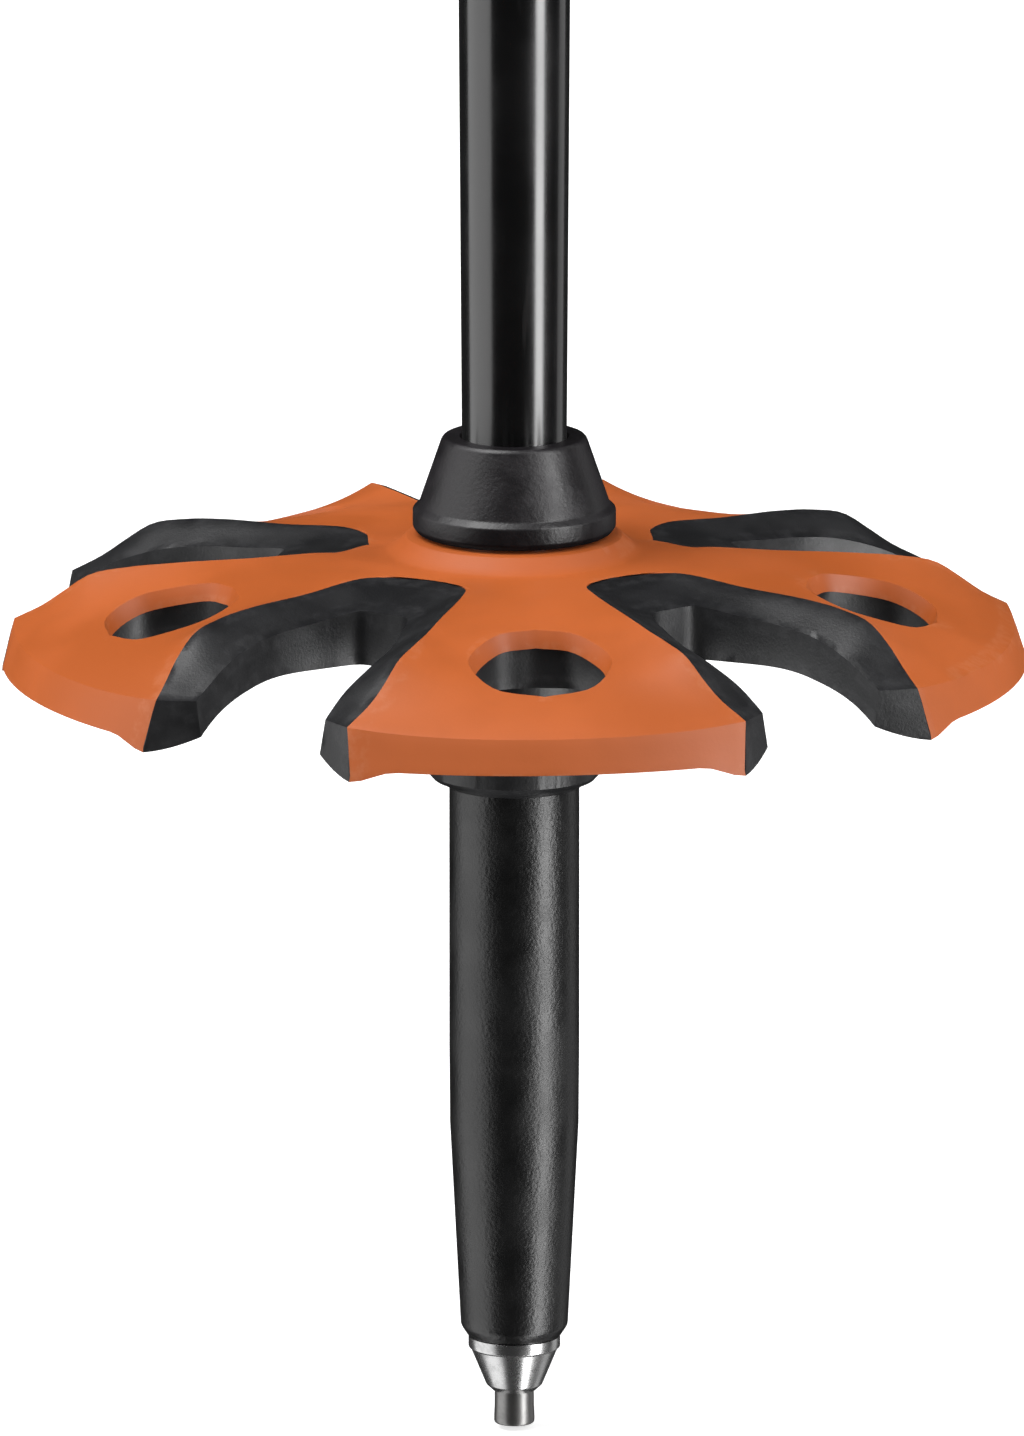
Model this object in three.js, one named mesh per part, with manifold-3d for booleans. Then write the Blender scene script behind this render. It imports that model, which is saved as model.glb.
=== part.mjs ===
// A two-piece adjustable ski pole, standing on the tip of its steel pin.
// Millimetres, +Z up, origin in the middle of the pin's flat end.
import * as THREE from 'three';
import { mergeVertices } from 'three/addons/utils/BufferGeometryUtils.js';
import Module from 'manifold-3d';

const wasm = await Module();
wasm.setup();

// ---- Driving dimensions -------------------------------------------------

const TOTAL_LENGTH = 1200; // tip to top of grip, at the length it is set to here
const GAP = 0.3; // left between two pieces that touch
const ROUND = 28; // sides of a turned piece
const BASKET_ROUND = 40;

// Tip
const PIN_RADIUS = 1.95;
const PIN_SHOWS = 3.5; // height of pin below the ferrule
const PIN_SHANK = 12; // length of pin held inside the ferrule
const PIN_SHANK_RADIUS = 1.4;
const FERRULE_TOP_RADIUS = 4.45;
const FERRULE_HEIGHT = 5.2;
const FERRULE_SHANK_RADIUS = 2.9;
const FERRULE_SHANK = 16;
const SLEEVE_RADIUS = 6.4;
const SLEEVE_END_RADIUS = 5.2;
const SLEEVE_TAPER_TOP = 34.6;
const SLEEVE_FLOOR = 46; // height of the shaft's seat in the sleeve

// Shaft
const SHAFT_RADIUS_AT_COLLAR = 5.15;
const SHAFT_TAPER = 0.0068; // growth of radius with height
const LOWER_SHAFT_RADIUS = 7;
const LOWER_SHAFT_WALL = 0.8;
const LOWER_SHAFT_TOP = 830;
const UPPER_SHAFT_RADIUS = 8;
const UPPER_SHAFT_WALL = 0.6;
const SLIDE_CLEARANCE = 0.08; // radial, between lower shaft and what guides it

// Basket, whose heights are measured down from the top of its boss
const BASKET_TOP = 90.1;
const PETALS = 5;
const FIRST_PETAL_DEG = -86; // direction of the first petal, from +X
const BASKET_RADIUS = 50.3;
const SPREAD = BASKET_RADIUS / 50.3; // the gaps, holes and slopes grow with the basket
const TOP_THICKNESS = 1.7;
const RIM_THICKNESS = 1.4;
const RIM_TOP = BASKET_TOP - 8.7;
const RIM_BOTTOM = BASKET_TOP - 12.5;
const HUB_RADIUS = SLEEVE_RADIUS + 2.05;
const HUB_BOTTOM = BASKET_TOP - 25.8;
const PLATE_BOTTOM = BASKET_TOP - 9;
const PLATE_EDGE_BOTTOM = BASKET_TOP - 13.3;
const BOSS = { radius: HUB_RADIUS + 1.95, foot: HUB_RADIUS + 4.15, height: 1.7 };
// Depth of the basket's upper surface, and of the core's underside, over the radius
const DOME_DEPTHS = [[24, 1.9], [30, 2.8], [36, 3.9], [43, 5.9]];
const UNDERSIDE_DEPTHS = [[38, 9.2], [44, 10.5]];
// Half-widths of the five gaps between petals, over the distance from the axis
const TOP_GAP = [[15.2, 0], [15.5, 2.6], [17, 4.9], [20, 6.5], [26, 8.2], [34, 10.7], [42, 11.8], [50, 10.9], [58, 9.6]];
const CORE_GAP = [[24, 0], [24.4, 2.4], [28, 4.4], [33, 6.4], [38, 7.4], [46, 7.9], [50.4, 11], [58, 17]];
const PETAL_HOLE = [[30.8, 0], [32, 4], [37.3, 6.6], [42, 4.8], [43.5, 0]];

// Collar above the basket
const COLLAR_BOTTOM = BASKET_TOP + GAP;
const COLLAR_TOP = COLLAR_BOTTOM + 9.5;
const COLLAR_RADIUS = 9.97;
const COLLAR_TOP_RADIUS = 6.9;
const COLLAR_BAND = 2.3;

// Length clamp
const CLAMP_MIDDLE = 579;
const CLAMP_HEIGHT = 36;
const CLAMP_RADIUS = UPPER_SHAFT_RADIUS + 4.2;
const LINER_WALL = 1;
const LINER_FLANGE_HEIGHT = 2.4;
const BOLT_RADIUS = 2.2;
const BOLT_Y = -CLAMP_RADIUS - 3;
const EAR_REACH = 6.5; // half-width across the two ears
const EAR_BACK = 1.7 - CLAMP_RADIUS;
const EAR_FRONT = BOLT_Y - 4.3;
const EAR_HEIGHT = 26;
const CLAMP_SLIT = 2.5;
const LEVER_AXIS_X = CLAMP_RADIUS;
const LEVER_CHEEK_RADIUS = LEVER_AXIS_X - EAR_REACH - GAP;
const LEVER_CHEEK_HEIGHT = 6;
const LEVER_HEIGHT = 30;
const LEVER_THICKNESS = 2.8;
const LEVER_START_DEG = -50;
const LEVER_FULL_DEG = -34;
const LEVER_END_DEG = 78;
const BARREL_RADIUS = 3.2;
const BARREL_CLEARANCE = 0.07;
const NUT_RADIUS = 5.2;
const NUT_WIDTH = 5.5;
const NUT_RIBS = 12;
const WASHER_WIDTH = 0.8;

// Grip
const GRIP_BOTTOM = TOTAL_LENGTH - 138;
const CAP_BOTTOM = TOTAL_LENGTH - 10;
const UPPER_SHAFT_TOP = TOTAL_LENGTH - 44;
const GRIP_CORE_RADIUS = UPPER_SHAFT_RADIUS + 3;
const CORE_START = GRIP_BOTTOM + 4; // height where the core starts in the skin
const HEAD = { back: -18, front: 13, side: 12.2, bottom: TOTAL_LENGTH - 40 };
const POCKET = { back: -14, front: 1.5, side: 10.4, bottom: TOTAL_LENGTH - 38 };
const STRAP_SLOT = { bottom: TOTAL_LENGTH - 34, top: TOTAL_LENGTH - 12.5 };
const FOAM_LENGTH = 150;
const FOAM_RADIUS = UPPER_SHAFT_RADIUS + 6.6;
const FOAM_END_RADIUS = FOAM_RADIUS - 1.6;
const RING_HEIGHT = 8;
// Grip outline over its height: reach to the front, to the back, and to each side
const GRIP_OUTLINE = [
  [0, 18.5, 18.5, 15.5],
  [7, 17, 16.4, 14],
  [15, 18.6, 16, 13.6],
  [24, 16.4, 16.2, 13.6],
  [35, 19.2, 16.8, 14],
  [46, 16.8, 17.2, 14],
  [57, 19.2, 17.4, 14],
  [68, 16.6, 17.2, 13.8],
  [80, 19.6, 18.6, 14.8],
  [91, 19, 22, 17],
  [102, 20.4, 24.4, 18],
  [116, 21.6, 24.8, 18.2],
  [128, 20.8, 24.2, 17.8],
];
const GRIP_SQUARENESS = 2.8; // power of its rounded-square section: 2 would be an ellipse

// Strap
const STRAP_WIDTH = 20;
const STRAP_THICKNESS = 2;
const PAD_WIDTH = 26;
const PAD_THICKNESS = 2.6;
const STRAP_PIN = { x: -8, z: TOTAL_LENGTH - 22, radius: 2 };
const WEDGE = { back: -3, front: 1, side: 9.8, bottom: TOTAL_LENGTH - 36, top: TOTAL_LENGTH - 1.6 };
const WRAP_RADIUS = STRAP_PIN.radius + GAP + STRAP_THICKNESS / 2 + 0.1;
// Where the two legs of the strap leave the grip side by side, they slope down at this angle
const LEG_SLOPE_DEG = 24;
const LEG_SPREAD = 1.6; // half the distance between the legs' middle lines
// Middle line of the loop below the legs, from the pin: outward, down, round and back up
const STRAP_LOOP = [
  [-41, -19], [-58, -50], [-67, -93], [-66, -138], [-53, -170], [-38, -176], [-30.5, -158],
  [-29, -118], [-30, -68], [-31, -33], [-29.5, -18.5],
];
const KEEPER = { middle: 24, length: 6, wall: 1.5 };

// ---- Helpers ------------------------------------------------------------

function cleaned(geometry) {
  const bare = geometry.index ? geometry.toNonIndexed() : geometry.clone();
  bare.deleteAttribute('normal');
  bare.deleteAttribute('uv');
  const merged = mergeVertices(bare, 1e-4);
  const corners = merged.index.array;
  const kept = [];
  for (let i = 0; i < corners.length; i += 3) {
    const [a, b, c] = corners.slice(i, i + 3);
    if (a !== b && b !== c && c !== a) kept.push(a, b, c);
  }
  merged.setIndex(kept);
  return merged;
}

function signedVolume(geometry) {
  const place = geometry.attributes.position;
  const corners = geometry.index.array;
  const [a, b, c] = [new THREE.Vector3(), new THREE.Vector3(), new THREE.Vector3()];
  let sum = 0;
  for (let i = 0; i < corners.length; i += 3) {
    a.fromBufferAttribute(place, corners[i]);
    b.fromBufferAttribute(place, corners[i + 1]);
    c.fromBufferAttribute(place, corners[i + 2]);
    sum += a.dot(b.cross(c)) / 6;
  }
  return sum;
}

function solid(geometry) {
  const clean = cleaned(geometry);
  const corners = Array.from(clean.index.array);
  if (signedVolume(clean) < 0) corners.reverse();
  const vertProperties = new Float32Array(clean.attributes.position.array);
  const triVerts = new Uint32Array(corners);
  return new wasm.Manifold(new wasm.Mesh({ numProp: 3, vertProperties, triVerts }));
}

function material(color, roughness, metalness = 0) {
  return new THREE.MeshStandardMaterial({ color, roughness, metalness });
}

function piece(name, shape, finish) {
  const mesh = shape.getMesh();
  const geometry = new THREE.BufferGeometry();
  geometry.setAttribute('position', new THREE.BufferAttribute(new Float32Array(mesh.vertProperties), 3));
  geometry.setIndex(new THREE.BufferAttribute(new Uint32Array(mesh.triVerts), 1));
  geometry.computeVertexNormals();
  const part = new THREE.Mesh(geometry, finish);
  part.name = name;
  return part;
}

// A solid turned round the Z axis. An outline that leaves the axis alone is closed on itself.
function turned(outline, sides = ROUND) {
  const points = outline.map(([radius, z]) => new THREE.Vector2(radius, z));
  if (outline[0][0] > 0) points.push(points[0].clone());
  return solid(new THREE.LatheGeometry(points, sides).rotateX(Math.PI / 2));
}

function rod(radius, from, to, sides = 24) {
  return turned([[0, from], [radius, from], [radius, to], [0, to]], sides);
}

function alongX(shape) {
  return shape.rotate([0, 90, 0]);
}

function prism(shape, from, to) {
  const depth = to - from;
  return solid(new THREE.ExtrudeGeometry(shape, { depth, bevelEnabled: false, curveSegments: 9 }).translate(0, 0, from));
}

function block(low, high) {
  const size = high.map((value, axis) => value - low[axis]);
  const middle = high.map((value, axis) => (value + low[axis]) / 2);
  return solid(new THREE.BoxGeometry(...size).translate(...middle));
}

const radians = THREE.MathUtils.degToRad;

// ---- Finishes -----------------------------------------------------------

const blackAluminium = material(0x17181a, 0.28, 0.6);
const blackPlastic = material(0x1d1e20, 0.5);
const steel = material(0x9b9c9e, 0.3, 1);
const darkPlastic = material(0x3a3c40, 0.6);
const orangeRubber = material(0xc8672f, 0.55);
const collarRubber = material(0x2b282d, 0.6);
const gripRubber = material(0x242527, 0.75);
const foam = material(0x2c2d2f, 0.9);
const webbing = material(0x2a2b2d, 0.85);

// ---- Tip ----------------------------------------------------------------

const sleeveBottom = PIN_SHOWS + FERRULE_HEIGHT + GAP;
const sleeveTop = BASKET_TOP - 0.1;
const shaftRadius = (z) => Math.min(LOWER_SHAFT_RADIUS, SHAFT_RADIUS_AT_COLLAR + (z - COLLAR_TOP) * SHAFT_TAPER);
const taperEnd = COLLAR_TOP + (LOWER_SHAFT_RADIUS - SHAFT_RADIUS_AT_COLLAR) / SHAFT_TAPER;

function tipPin() {
  const shankTop = PIN_SHOWS + PIN_SHANK;
  const chamfer = 0.3;
  return turned([
    [0, 0], [PIN_RADIUS - chamfer, 0], [PIN_RADIUS, chamfer], [PIN_RADIUS, PIN_SHOWS - GAP],
    [PIN_SHANK_RADIUS, PIN_SHOWS - GAP], [PIN_SHANK_RADIUS, shankTop], [0, shankTop],
  ]);
}

function tipFerrule() {
  const bottom = PIN_SHOWS;
  const top = bottom + FERRULE_HEIGHT;
  const shankTop = top + FERRULE_SHANK;
  const boreRadius = PIN_SHANK_RADIUS + GAP;
  const boreTop = PIN_SHOWS + PIN_SHANK + GAP;
  return turned([
    [boreRadius, bottom], [2.15, bottom], [2.55, bottom + 0.5], [FERRULE_TOP_RADIUS - 0.5, top - 1.6],
    [FERRULE_TOP_RADIUS, top - 1.2], [FERRULE_TOP_RADIUS, top], [FERRULE_SHANK_RADIUS, top],
    [FERRULE_SHANK_RADIUS, shankTop], [boreRadius, shankTop], [boreRadius, boreTop],
  ]);
}

function tipSleeve() {
  const chamfer = { radius: SLEEVE_END_RADIUS - FERRULE_TOP_RADIUS, height: 1.5 };
  const shankBore = FERRULE_SHANK_RADIUS + GAP;
  const shankTop = PIN_SHOWS + FERRULE_HEIGHT + FERRULE_SHANK + GAP;
  return turned([
    [shankBore, sleeveBottom], [SLEEVE_END_RADIUS - chamfer.radius, sleeveBottom],
    [SLEEVE_END_RADIUS, sleeveBottom + chamfer.height], [SLEEVE_RADIUS, SLEEVE_TAPER_TOP],
    [SLEEVE_RADIUS, sleeveTop], [shaftRadius(sleeveTop) + GAP, sleeveTop],
    [shaftRadius(SLEEVE_FLOOR) + GAP, SLEEVE_FLOOR], [shankBore, SLEEVE_FLOOR - 1], [shankBore, shankTop],
  ]);
}

function lowerShaft() {
  const bottom = SLEEVE_FLOOR + GAP;
  const wall = LOWER_SHAFT_WALL;
  return turned([
    [shaftRadius(bottom) - wall, bottom], [shaftRadius(bottom), bottom], [LOWER_SHAFT_RADIUS, taperEnd],
    [LOWER_SHAFT_RADIUS, LOWER_SHAFT_TOP], [LOWER_SHAFT_RADIUS - wall, LOWER_SHAFT_TOP],
    [LOWER_SHAFT_RADIUS - wall, taperEnd],
  ]);
}

// Plug in the top of the lower shaft, whose head runs in the upper shaft.
function guideBush() {
  const plugRadius = LOWER_SHAFT_RADIUS - LOWER_SHAFT_WALL - GAP;
  const headRadius = UPPER_SHAFT_RADIUS - UPPER_SHAFT_WALL - SLIDE_CLEARANCE;
  const seat = LOWER_SHAFT_TOP + GAP;
  return turned([
    [plugRadius - 1.2, seat - 18], [plugRadius, seat - 18], [plugRadius, seat], [headRadius, seat],
    [headRadius, seat + 9], [headRadius - 1, seat + 10.5], [plugRadius - 1.2, seat + 10.5],
  ]);
}

// ---- Basket -------------------------------------------------------------

const hubBore = SLEEVE_RADIUS + GAP;
const coreDrop = TOP_THICKNESS + GAP;
const atDepths = (rows) => rows.map(([radius, depth]) => [radius * SPREAD, BASKET_TOP - depth]);
const dome = [[BOSS.foot, BASKET_TOP - BOSS.height], ...atDepths(DOME_DEPTHS)];

function basketCore() {
  const edge = BASKET_RADIUS - RIM_THICKNESS - GAP;
  const top = [...dome].reverse().map(([radius, z]) => [radius, z - coreDrop]);
  const body = turned([
    [hubBore, HUB_BOTTOM], [HUB_RADIUS - 0.8, HUB_BOTTOM + 0.5], [HUB_RADIUS, HUB_BOTTOM + 1.6],
    [HUB_RADIUS, PLATE_BOTTOM - 1.6], [HUB_RADIUS + 2, PLATE_BOTTOM], ...atDepths(UNDERSIDE_DEPTHS),
    [edge, PLATE_EDGE_BOTTOM], [edge, RIM_TOP - coreDrop + 0.4], ...top, [BOSS.radius, BASKET_TOP - coreDrop],
    [hubBore, BASKET_TOP - coreDrop],
  ], BASKET_ROUND);
  return cutBasket(body, CORE_GAP);
}

function basketTop() {
  const inner = BASKET_RADIUS - RIM_THICKNESS;
  const under = dome.map(([radius, z]) => [radius, z - TOP_THICKNESS]);
  const over = [...dome].reverse();
  const body = turned([
    [hubBore, BASKET_TOP - TOP_THICKNESS], [BOSS.radius, BASKET_TOP - TOP_THICKNESS], ...under,
    [inner, RIM_TOP - TOP_THICKNESS + 0.4], [inner, RIM_BOTTOM], [BASKET_RADIUS - 0.1, RIM_BOTTOM],
    [BASKET_RADIUS, RIM_BOTTOM + 0.3], [BASKET_RADIUS - 1.1, RIM_TOP - 0.6], ...over,
    [BOSS.radius, BASKET_TOP], [hubBore, BASKET_TOP],
  ], BASKET_ROUND);
  return cutBasket(body, TOP_GAP);
}

// The outline is drawn along +X from half-widths and mirrored across the axis.
function mirroredOutline(halfWidths, steps) {
  const points = halfWidths.map(([along, across]) => new THREE.Vector2(along, across).multiplyScalar(SPREAD));
  const side = new THREE.SplineCurve(points);
  const upper = side.getPoints(steps);
  const lower = upper.slice(1).reverse().map((point) => new THREE.Vector2(point.x, -point.y));
  if (Math.abs(lower[0].y) < 1e-6) lower.shift();
  return new THREE.Shape([...upper, ...lower]);
}

function cutBasket(body, gap) {
  const [low, high] = [HUB_BOTTOM - 5, BASKET_TOP + 5];
  const gapCutter = prism(mirroredOutline(gap, 13), low, high);
  const holeCutter = prism(mirroredOutline(PETAL_HOLE, 6), low, high);
  const step = 360 / PETALS;
  let left = body;
  for (let petal = 0; petal < PETALS; petal += 1) {
    const direction = FIRST_PETAL_DEG + petal * step;
    left = left.subtract(holeCutter.rotate([0, 0, direction]));
    left = left.subtract(gapCutter.rotate([0, 0, direction + step / 2]));
  }
  return left;
}

function stopCollar() {
  const bore = shaftRadius(COLLAR_TOP) + GAP;
  return turned([
    [bore, COLLAR_BOTTOM], [COLLAR_RADIUS - 0.5, COLLAR_BOTTOM], [COLLAR_RADIUS, COLLAR_BOTTOM + 0.5],
    [COLLAR_RADIUS, COLLAR_BOTTOM + COLLAR_BAND], [COLLAR_RADIUS - 0.7, COLLAR_BOTTOM + COLLAR_BAND + 0.9],
    [COLLAR_TOP_RADIUS, COLLAR_TOP - 0.4], [COLLAR_TOP_RADIUS - 0.4, COLLAR_TOP], [bore, COLLAR_TOP],
  ]);
}

// ---- Length clamp -------------------------------------------------------

const clampBottom = CLAMP_MIDDLE - CLAMP_HEIGHT / 2;
const clampTop = CLAMP_MIDDLE + CLAMP_HEIGHT / 2;
const linerOuter = UPPER_SHAFT_RADIUS + GAP + LINER_WALL;
const upperShaftBottom = clampBottom + 5;
const boreClearance = 0.08;

function upperShaft() {
  const inner = UPPER_SHAFT_RADIUS - UPPER_SHAFT_WALL;
  return turned([
    [inner, upperShaftBottom], [UPPER_SHAFT_RADIUS, upperShaftBottom],
    [UPPER_SHAFT_RADIUS, UPPER_SHAFT_TOP], [inner, UPPER_SHAFT_TOP],
  ]);
}

// Bush between the two shafts and the clamp, with a flange under the clamp.
function clampLiner() {
  const flangeTop = clampBottom - GAP;
  const flangeBottom = flangeTop - LINER_FLANGE_HEIGHT;
  const step = upperShaftBottom - GAP;
  const top = clampTop + 3;
  return turned([
    [LOWER_SHAFT_RADIUS + SLIDE_CLEARANCE, flangeBottom], [CLAMP_RADIUS - 0.6, flangeBottom],
    [CLAMP_RADIUS, flangeBottom + 0.6], [CLAMP_RADIUS, flangeTop], [linerOuter, flangeTop], [linerOuter, top],
    [UPPER_SHAFT_RADIUS + GAP, top], [UPPER_SHAFT_RADIUS + GAP, step], [LOWER_SHAFT_RADIUS + SLIDE_CLEARANCE, step],
  ]);
}

function clampBody() {
  const inner = linerOuter + GAP;
  const ring = turned([
    [inner, clampBottom], [CLAMP_RADIUS, clampBottom], [CLAMP_RADIUS, clampTop - 1], [CLAMP_RADIUS - 1, clampTop],
    [inner, clampTop],
  ]);
  const earLow = CLAMP_MIDDLE - EAR_HEIGHT / 2;
  const earHigh = CLAMP_MIDDLE + EAR_HEIGHT / 2;
  const ears = block([-EAR_REACH, EAR_FRONT, earLow], [EAR_REACH, EAR_BACK, earHigh]);
  const slit = block([-CLAMP_SLIT / 2, EAR_FRONT - 5, clampBottom - 5], [CLAMP_SLIT / 2, 0, clampTop + 5]);
  const boltHole = onBolt(rod(BOLT_RADIUS + GAP, -EAR_REACH - 5, EAR_REACH + 5));
  const core = rod(inner, clampBottom - 5, clampTop + 5, ROUND);
  return ring.add(ears.subtract(core)).subtract(slit).subtract(boltHole);
}

function onBolt(shape) {
  return alongX(shape).translate([0, BOLT_Y, CLAMP_MIDDLE]);
}

const nutStart = -EAR_REACH - GAP - WASHER_WIDTH - GAP;

function clampBolt() {
  const threadEnd = nutStart - NUT_WIDTH - 1.2;
  return onBolt(rod(BOLT_RADIUS, threadEnd, LEVER_AXIS_X + BARREL_RADIUS - 1));
}

function leverBarrel() {
  const half = EAR_HEIGHT / 2;
  const pin = rod(BARREL_RADIUS, CLAMP_MIDDLE - half, CLAMP_MIDDLE + half).translate([LEVER_AXIS_X, BOLT_Y, 0]);
  return pin.subtract(onBolt(rod(BOLT_RADIUS + GAP, 0, LEVER_AXIS_X + BARREL_RADIUS - 1 + GAP)));
}

function adjusterWasher() {
  const ring = rod(NUT_RADIUS - 0.8, nutStart + GAP, nutStart + GAP + WASHER_WIDTH);
  return onBolt(ring.subtract(rod(BOLT_RADIUS + GAP, nutStart - 5, 0)));
}

function adjusterNut() {
  let nut = rod(NUT_RADIUS, nutStart - NUT_WIDTH, nutStart);
  const groove = rod(0.7, nutStart - NUT_WIDTH - 1, nutStart + 1, 8);
  for (let rib = 0; rib < NUT_RIBS; rib += 1) {
    const angle = (rib + 0.5) * 2 * Math.PI / NUT_RIBS;
    nut = nut.subtract(groove.translate([NUT_RADIUS * Math.cos(angle), NUT_RADIUS * Math.sin(angle), 0]));
  }
  nut = nut.subtract(rod(BOLT_RADIUS + boreClearance, nutStart - NUT_WIDTH - 1, nutStart + 1));
  return onBolt(nut);
}

// A bowed lever that lies round the clamp, held on the barrel by two cheeks.
function clampLever() {
  const inner = CLAMP_RADIUS + GAP + 0.1;
  const outer = inner + LEVER_THICKNESS;
  const bow = (fromDeg, low, high) => {
    const shape = new THREE.Shape();
    shape.absarc(0, 0, outer, radians(fromDeg), radians(LEVER_END_DEG), false);
    shape.absarc(0, 0, inner, radians(LEVER_END_DEG), radians(fromDeg), true);
    return prism(shape, low, high);
  };
  const [low, high] = [CLAMP_MIDDLE - LEVER_HEIGHT / 2, CLAMP_MIDDLE + LEVER_HEIGHT / 2];
  const cheekReach = BOLT_RADIUS + 3.4;
  const cheekLow = [CLAMP_MIDDLE - cheekReach - LEVER_CHEEK_HEIGHT, CLAMP_MIDDLE - cheekReach];
  const cheekHigh = [CLAMP_MIDDLE + cheekReach, CLAMP_MIDDLE + cheekReach + LEVER_CHEEK_HEIGHT];
  let lever = bow(LEVER_FULL_DEG, low, high);
  for (const [bottom, top] of [cheekLow, cheekHigh]) {
    const cheek = rod(LEVER_CHEEK_RADIUS, bottom, top).translate([LEVER_AXIS_X, BOLT_Y, 0]);
    lever = lever.add(bow(LEVER_START_DEG, bottom, top)).add(cheek);
  }
  const bore = rod(BARREL_RADIUS + BARREL_CLEARANCE, low - 5, high + 5);
  return lever.subtract(bore.translate([LEVER_AXIS_X, BOLT_Y, 0]));
}

// ---- Grip ---------------------------------------------------------------

// A tall form whose reach to the front, back and side follows a smooth curve through the outline.
function gripForm(outline, steps, sides) {
  const heights = outline.map(([z]) => z);
  const curve = (column) => new THREE.SplineCurve(outline.map((row) => new THREE.Vector2(row[0], row[column])));
  const [front, back, side] = [curve(1), curve(2), curve(3)];
  const length = heights[heights.length - 1];
  const geometry = new THREE.CylinderGeometry(1, 1, length, sides, steps).rotateX(Math.PI / 2);
  geometry.translate(0, 0, length / 2);
  const place = geometry.attributes.position;
  for (let i = 0; i < place.count; i += 1) {
    const t = place.getZ(i) / length;
    const [x, y] = [place.getX(i), place.getY(i)];
    const square = (value) => Math.sign(value) * Math.abs(value) ** (2 / GRIP_SQUARENESS);
    const reach = (x > 0 ? front : back).getPoint(t).y;
    place.setXYZ(i, square(x) * reach, square(y) * side.getPoint(t).y, side.getPoint(t).x);
  }
  return solid(geometry);
}

function gripCore() {
  const bore = UPPER_SHAFT_RADIUS + GAP;
  const tube = turned([
    [bore, CORE_START], [GRIP_CORE_RADIUS, CORE_START], [GRIP_CORE_RADIUS, HEAD.bottom + 1],
    [bore, HEAD.bottom + 1],
  ]);
  const head = block([HEAD.back, -HEAD.side, HEAD.bottom], [HEAD.front, HEAD.side, CAP_BOTTOM - GAP]);
  return tube.add(head).subtract(pocket()).subtract(strapSlot()).subtract(strapPinHole());
}

function pocket() {
  return block([POCKET.back, -POCKET.side, POCKET.bottom], [POCKET.front, POCKET.side, TOTAL_LENGTH + 5]);
}

function strapSlot() {
  return block([HEAD.back - 20, -POCKET.side, STRAP_SLOT.bottom], [POCKET.back + 1, POCKET.side, STRAP_SLOT.top]);
}

function onStrapPin(shape) {
  return shape.rotate([90, 0, 0]).translate([STRAP_PIN.x, 0, STRAP_PIN.z]);
}

function strapPinHole() {
  return onStrapPin(rod(STRAP_PIN.radius + GAP, -HEAD.side - 1, HEAD.side + 1));
}

function strapPin() {
  return onStrapPin(rod(STRAP_PIN.radius, -HEAD.side + 0.4, HEAD.side - 0.4));
}

function gripBody() {
  const outside = gripForm(GRIP_OUTLINE, 22, 24).translate([0, 0, GRIP_BOTTOM]);
  const tubeRoom = rod(GRIP_CORE_RADIUS + GAP, CORE_START - GAP, HEAD.bottom + 1, ROUND);
  const shaftRoom = rod(UPPER_SHAFT_RADIUS + GAP, GRIP_BOTTOM - 1, GRIP_BOTTOM + 5, ROUND);
  const side = HEAD.side + GAP;
  const headRoom = block([HEAD.back - GAP, -side, HEAD.bottom - GAP], [HEAD.front + GAP, side, TOTAL_LENGTH]);
  return outside.subtract(tubeRoom).subtract(shaftRoom).subtract(headRoom).subtract(strapSlot());
}

function gripCap() {
  const last = GRIP_OUTLINE[GRIP_OUTLINE.length - 1].slice(1);
  const height = TOTAL_LENGTH - CAP_BOTTOM;
  const share = (part, z) => [z, ...last.map((reach) => reach * part)];
  const dome = [share(1, 0), share(0.985, height * 0.35), share(0.9, height * 0.7), share(0.68, height)];
  const room = block([WEDGE.back - GAP, -WEDGE.side - GAP, 0], [WEDGE.front + GAP, WEDGE.side + GAP, TOTAL_LENGTH + 5]);
  return gripForm(dome, 4, 24).translate([0, 0, CAP_BOTTOM]).subtract(room);
}

function gripExtension() {
  const top = GRIP_BOTTOM - GAP;
  const bottom = top - FOAM_LENGTH;
  const bore = UPPER_SHAFT_RADIUS + GAP;
  return turned([
    [bore, bottom], [FOAM_END_RADIUS, bottom], [FOAM_RADIUS - 0.6, bottom + 12], [FOAM_RADIUS, bottom + 70],
    [FOAM_RADIUS, top - 3], [FOAM_RADIUS - 2, top], [bore, top],
  ]);
}

function extensionRing() {
  const top = GRIP_BOTTOM - FOAM_LENGTH - 2 * GAP;
  const bottom = top - RING_HEIGHT;
  const bore = UPPER_SHAFT_RADIUS + GAP;
  return turned([
    [bore, bottom], [bore + 2, bottom], [FOAM_END_RADIUS - 0.8, bottom + 4], [FOAM_END_RADIUS - 0.8, top], [bore, top],
  ]);
}

function strapWedge() {
  const plate = block([WEDGE.back, -WEDGE.side, WEDGE.bottom], [WEDGE.front, WEDGE.side, WEDGE.top]);
  const bevel = new THREE.Shape([[0, 0], [2.4, 0], [0, 12]].map(([x, z]) => new THREE.Vector2(x, z)));
  const wide = WEDGE.side + 1;
  const cutter = prism(bevel, -wide, wide).rotate([90, 0, 0]);
  return plate.subtract(cutter.translate([WEDGE.back - 0.1, 0, WEDGE.bottom - 0.1]));
}

// ---- Strap --------------------------------------------------------------

// A point beside the strap pin: a distance along the legs' slope, and a distance above it.
function onLegs(along, above) {
  const slope = radians(LEG_SLOPE_DEG);
  const x = -along * Math.cos(slope) - above * Math.sin(slope);
  const z = -along * Math.sin(slope) + above * Math.cos(slope);
  return new THREE.Vector3(x, z, 0);
}

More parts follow.
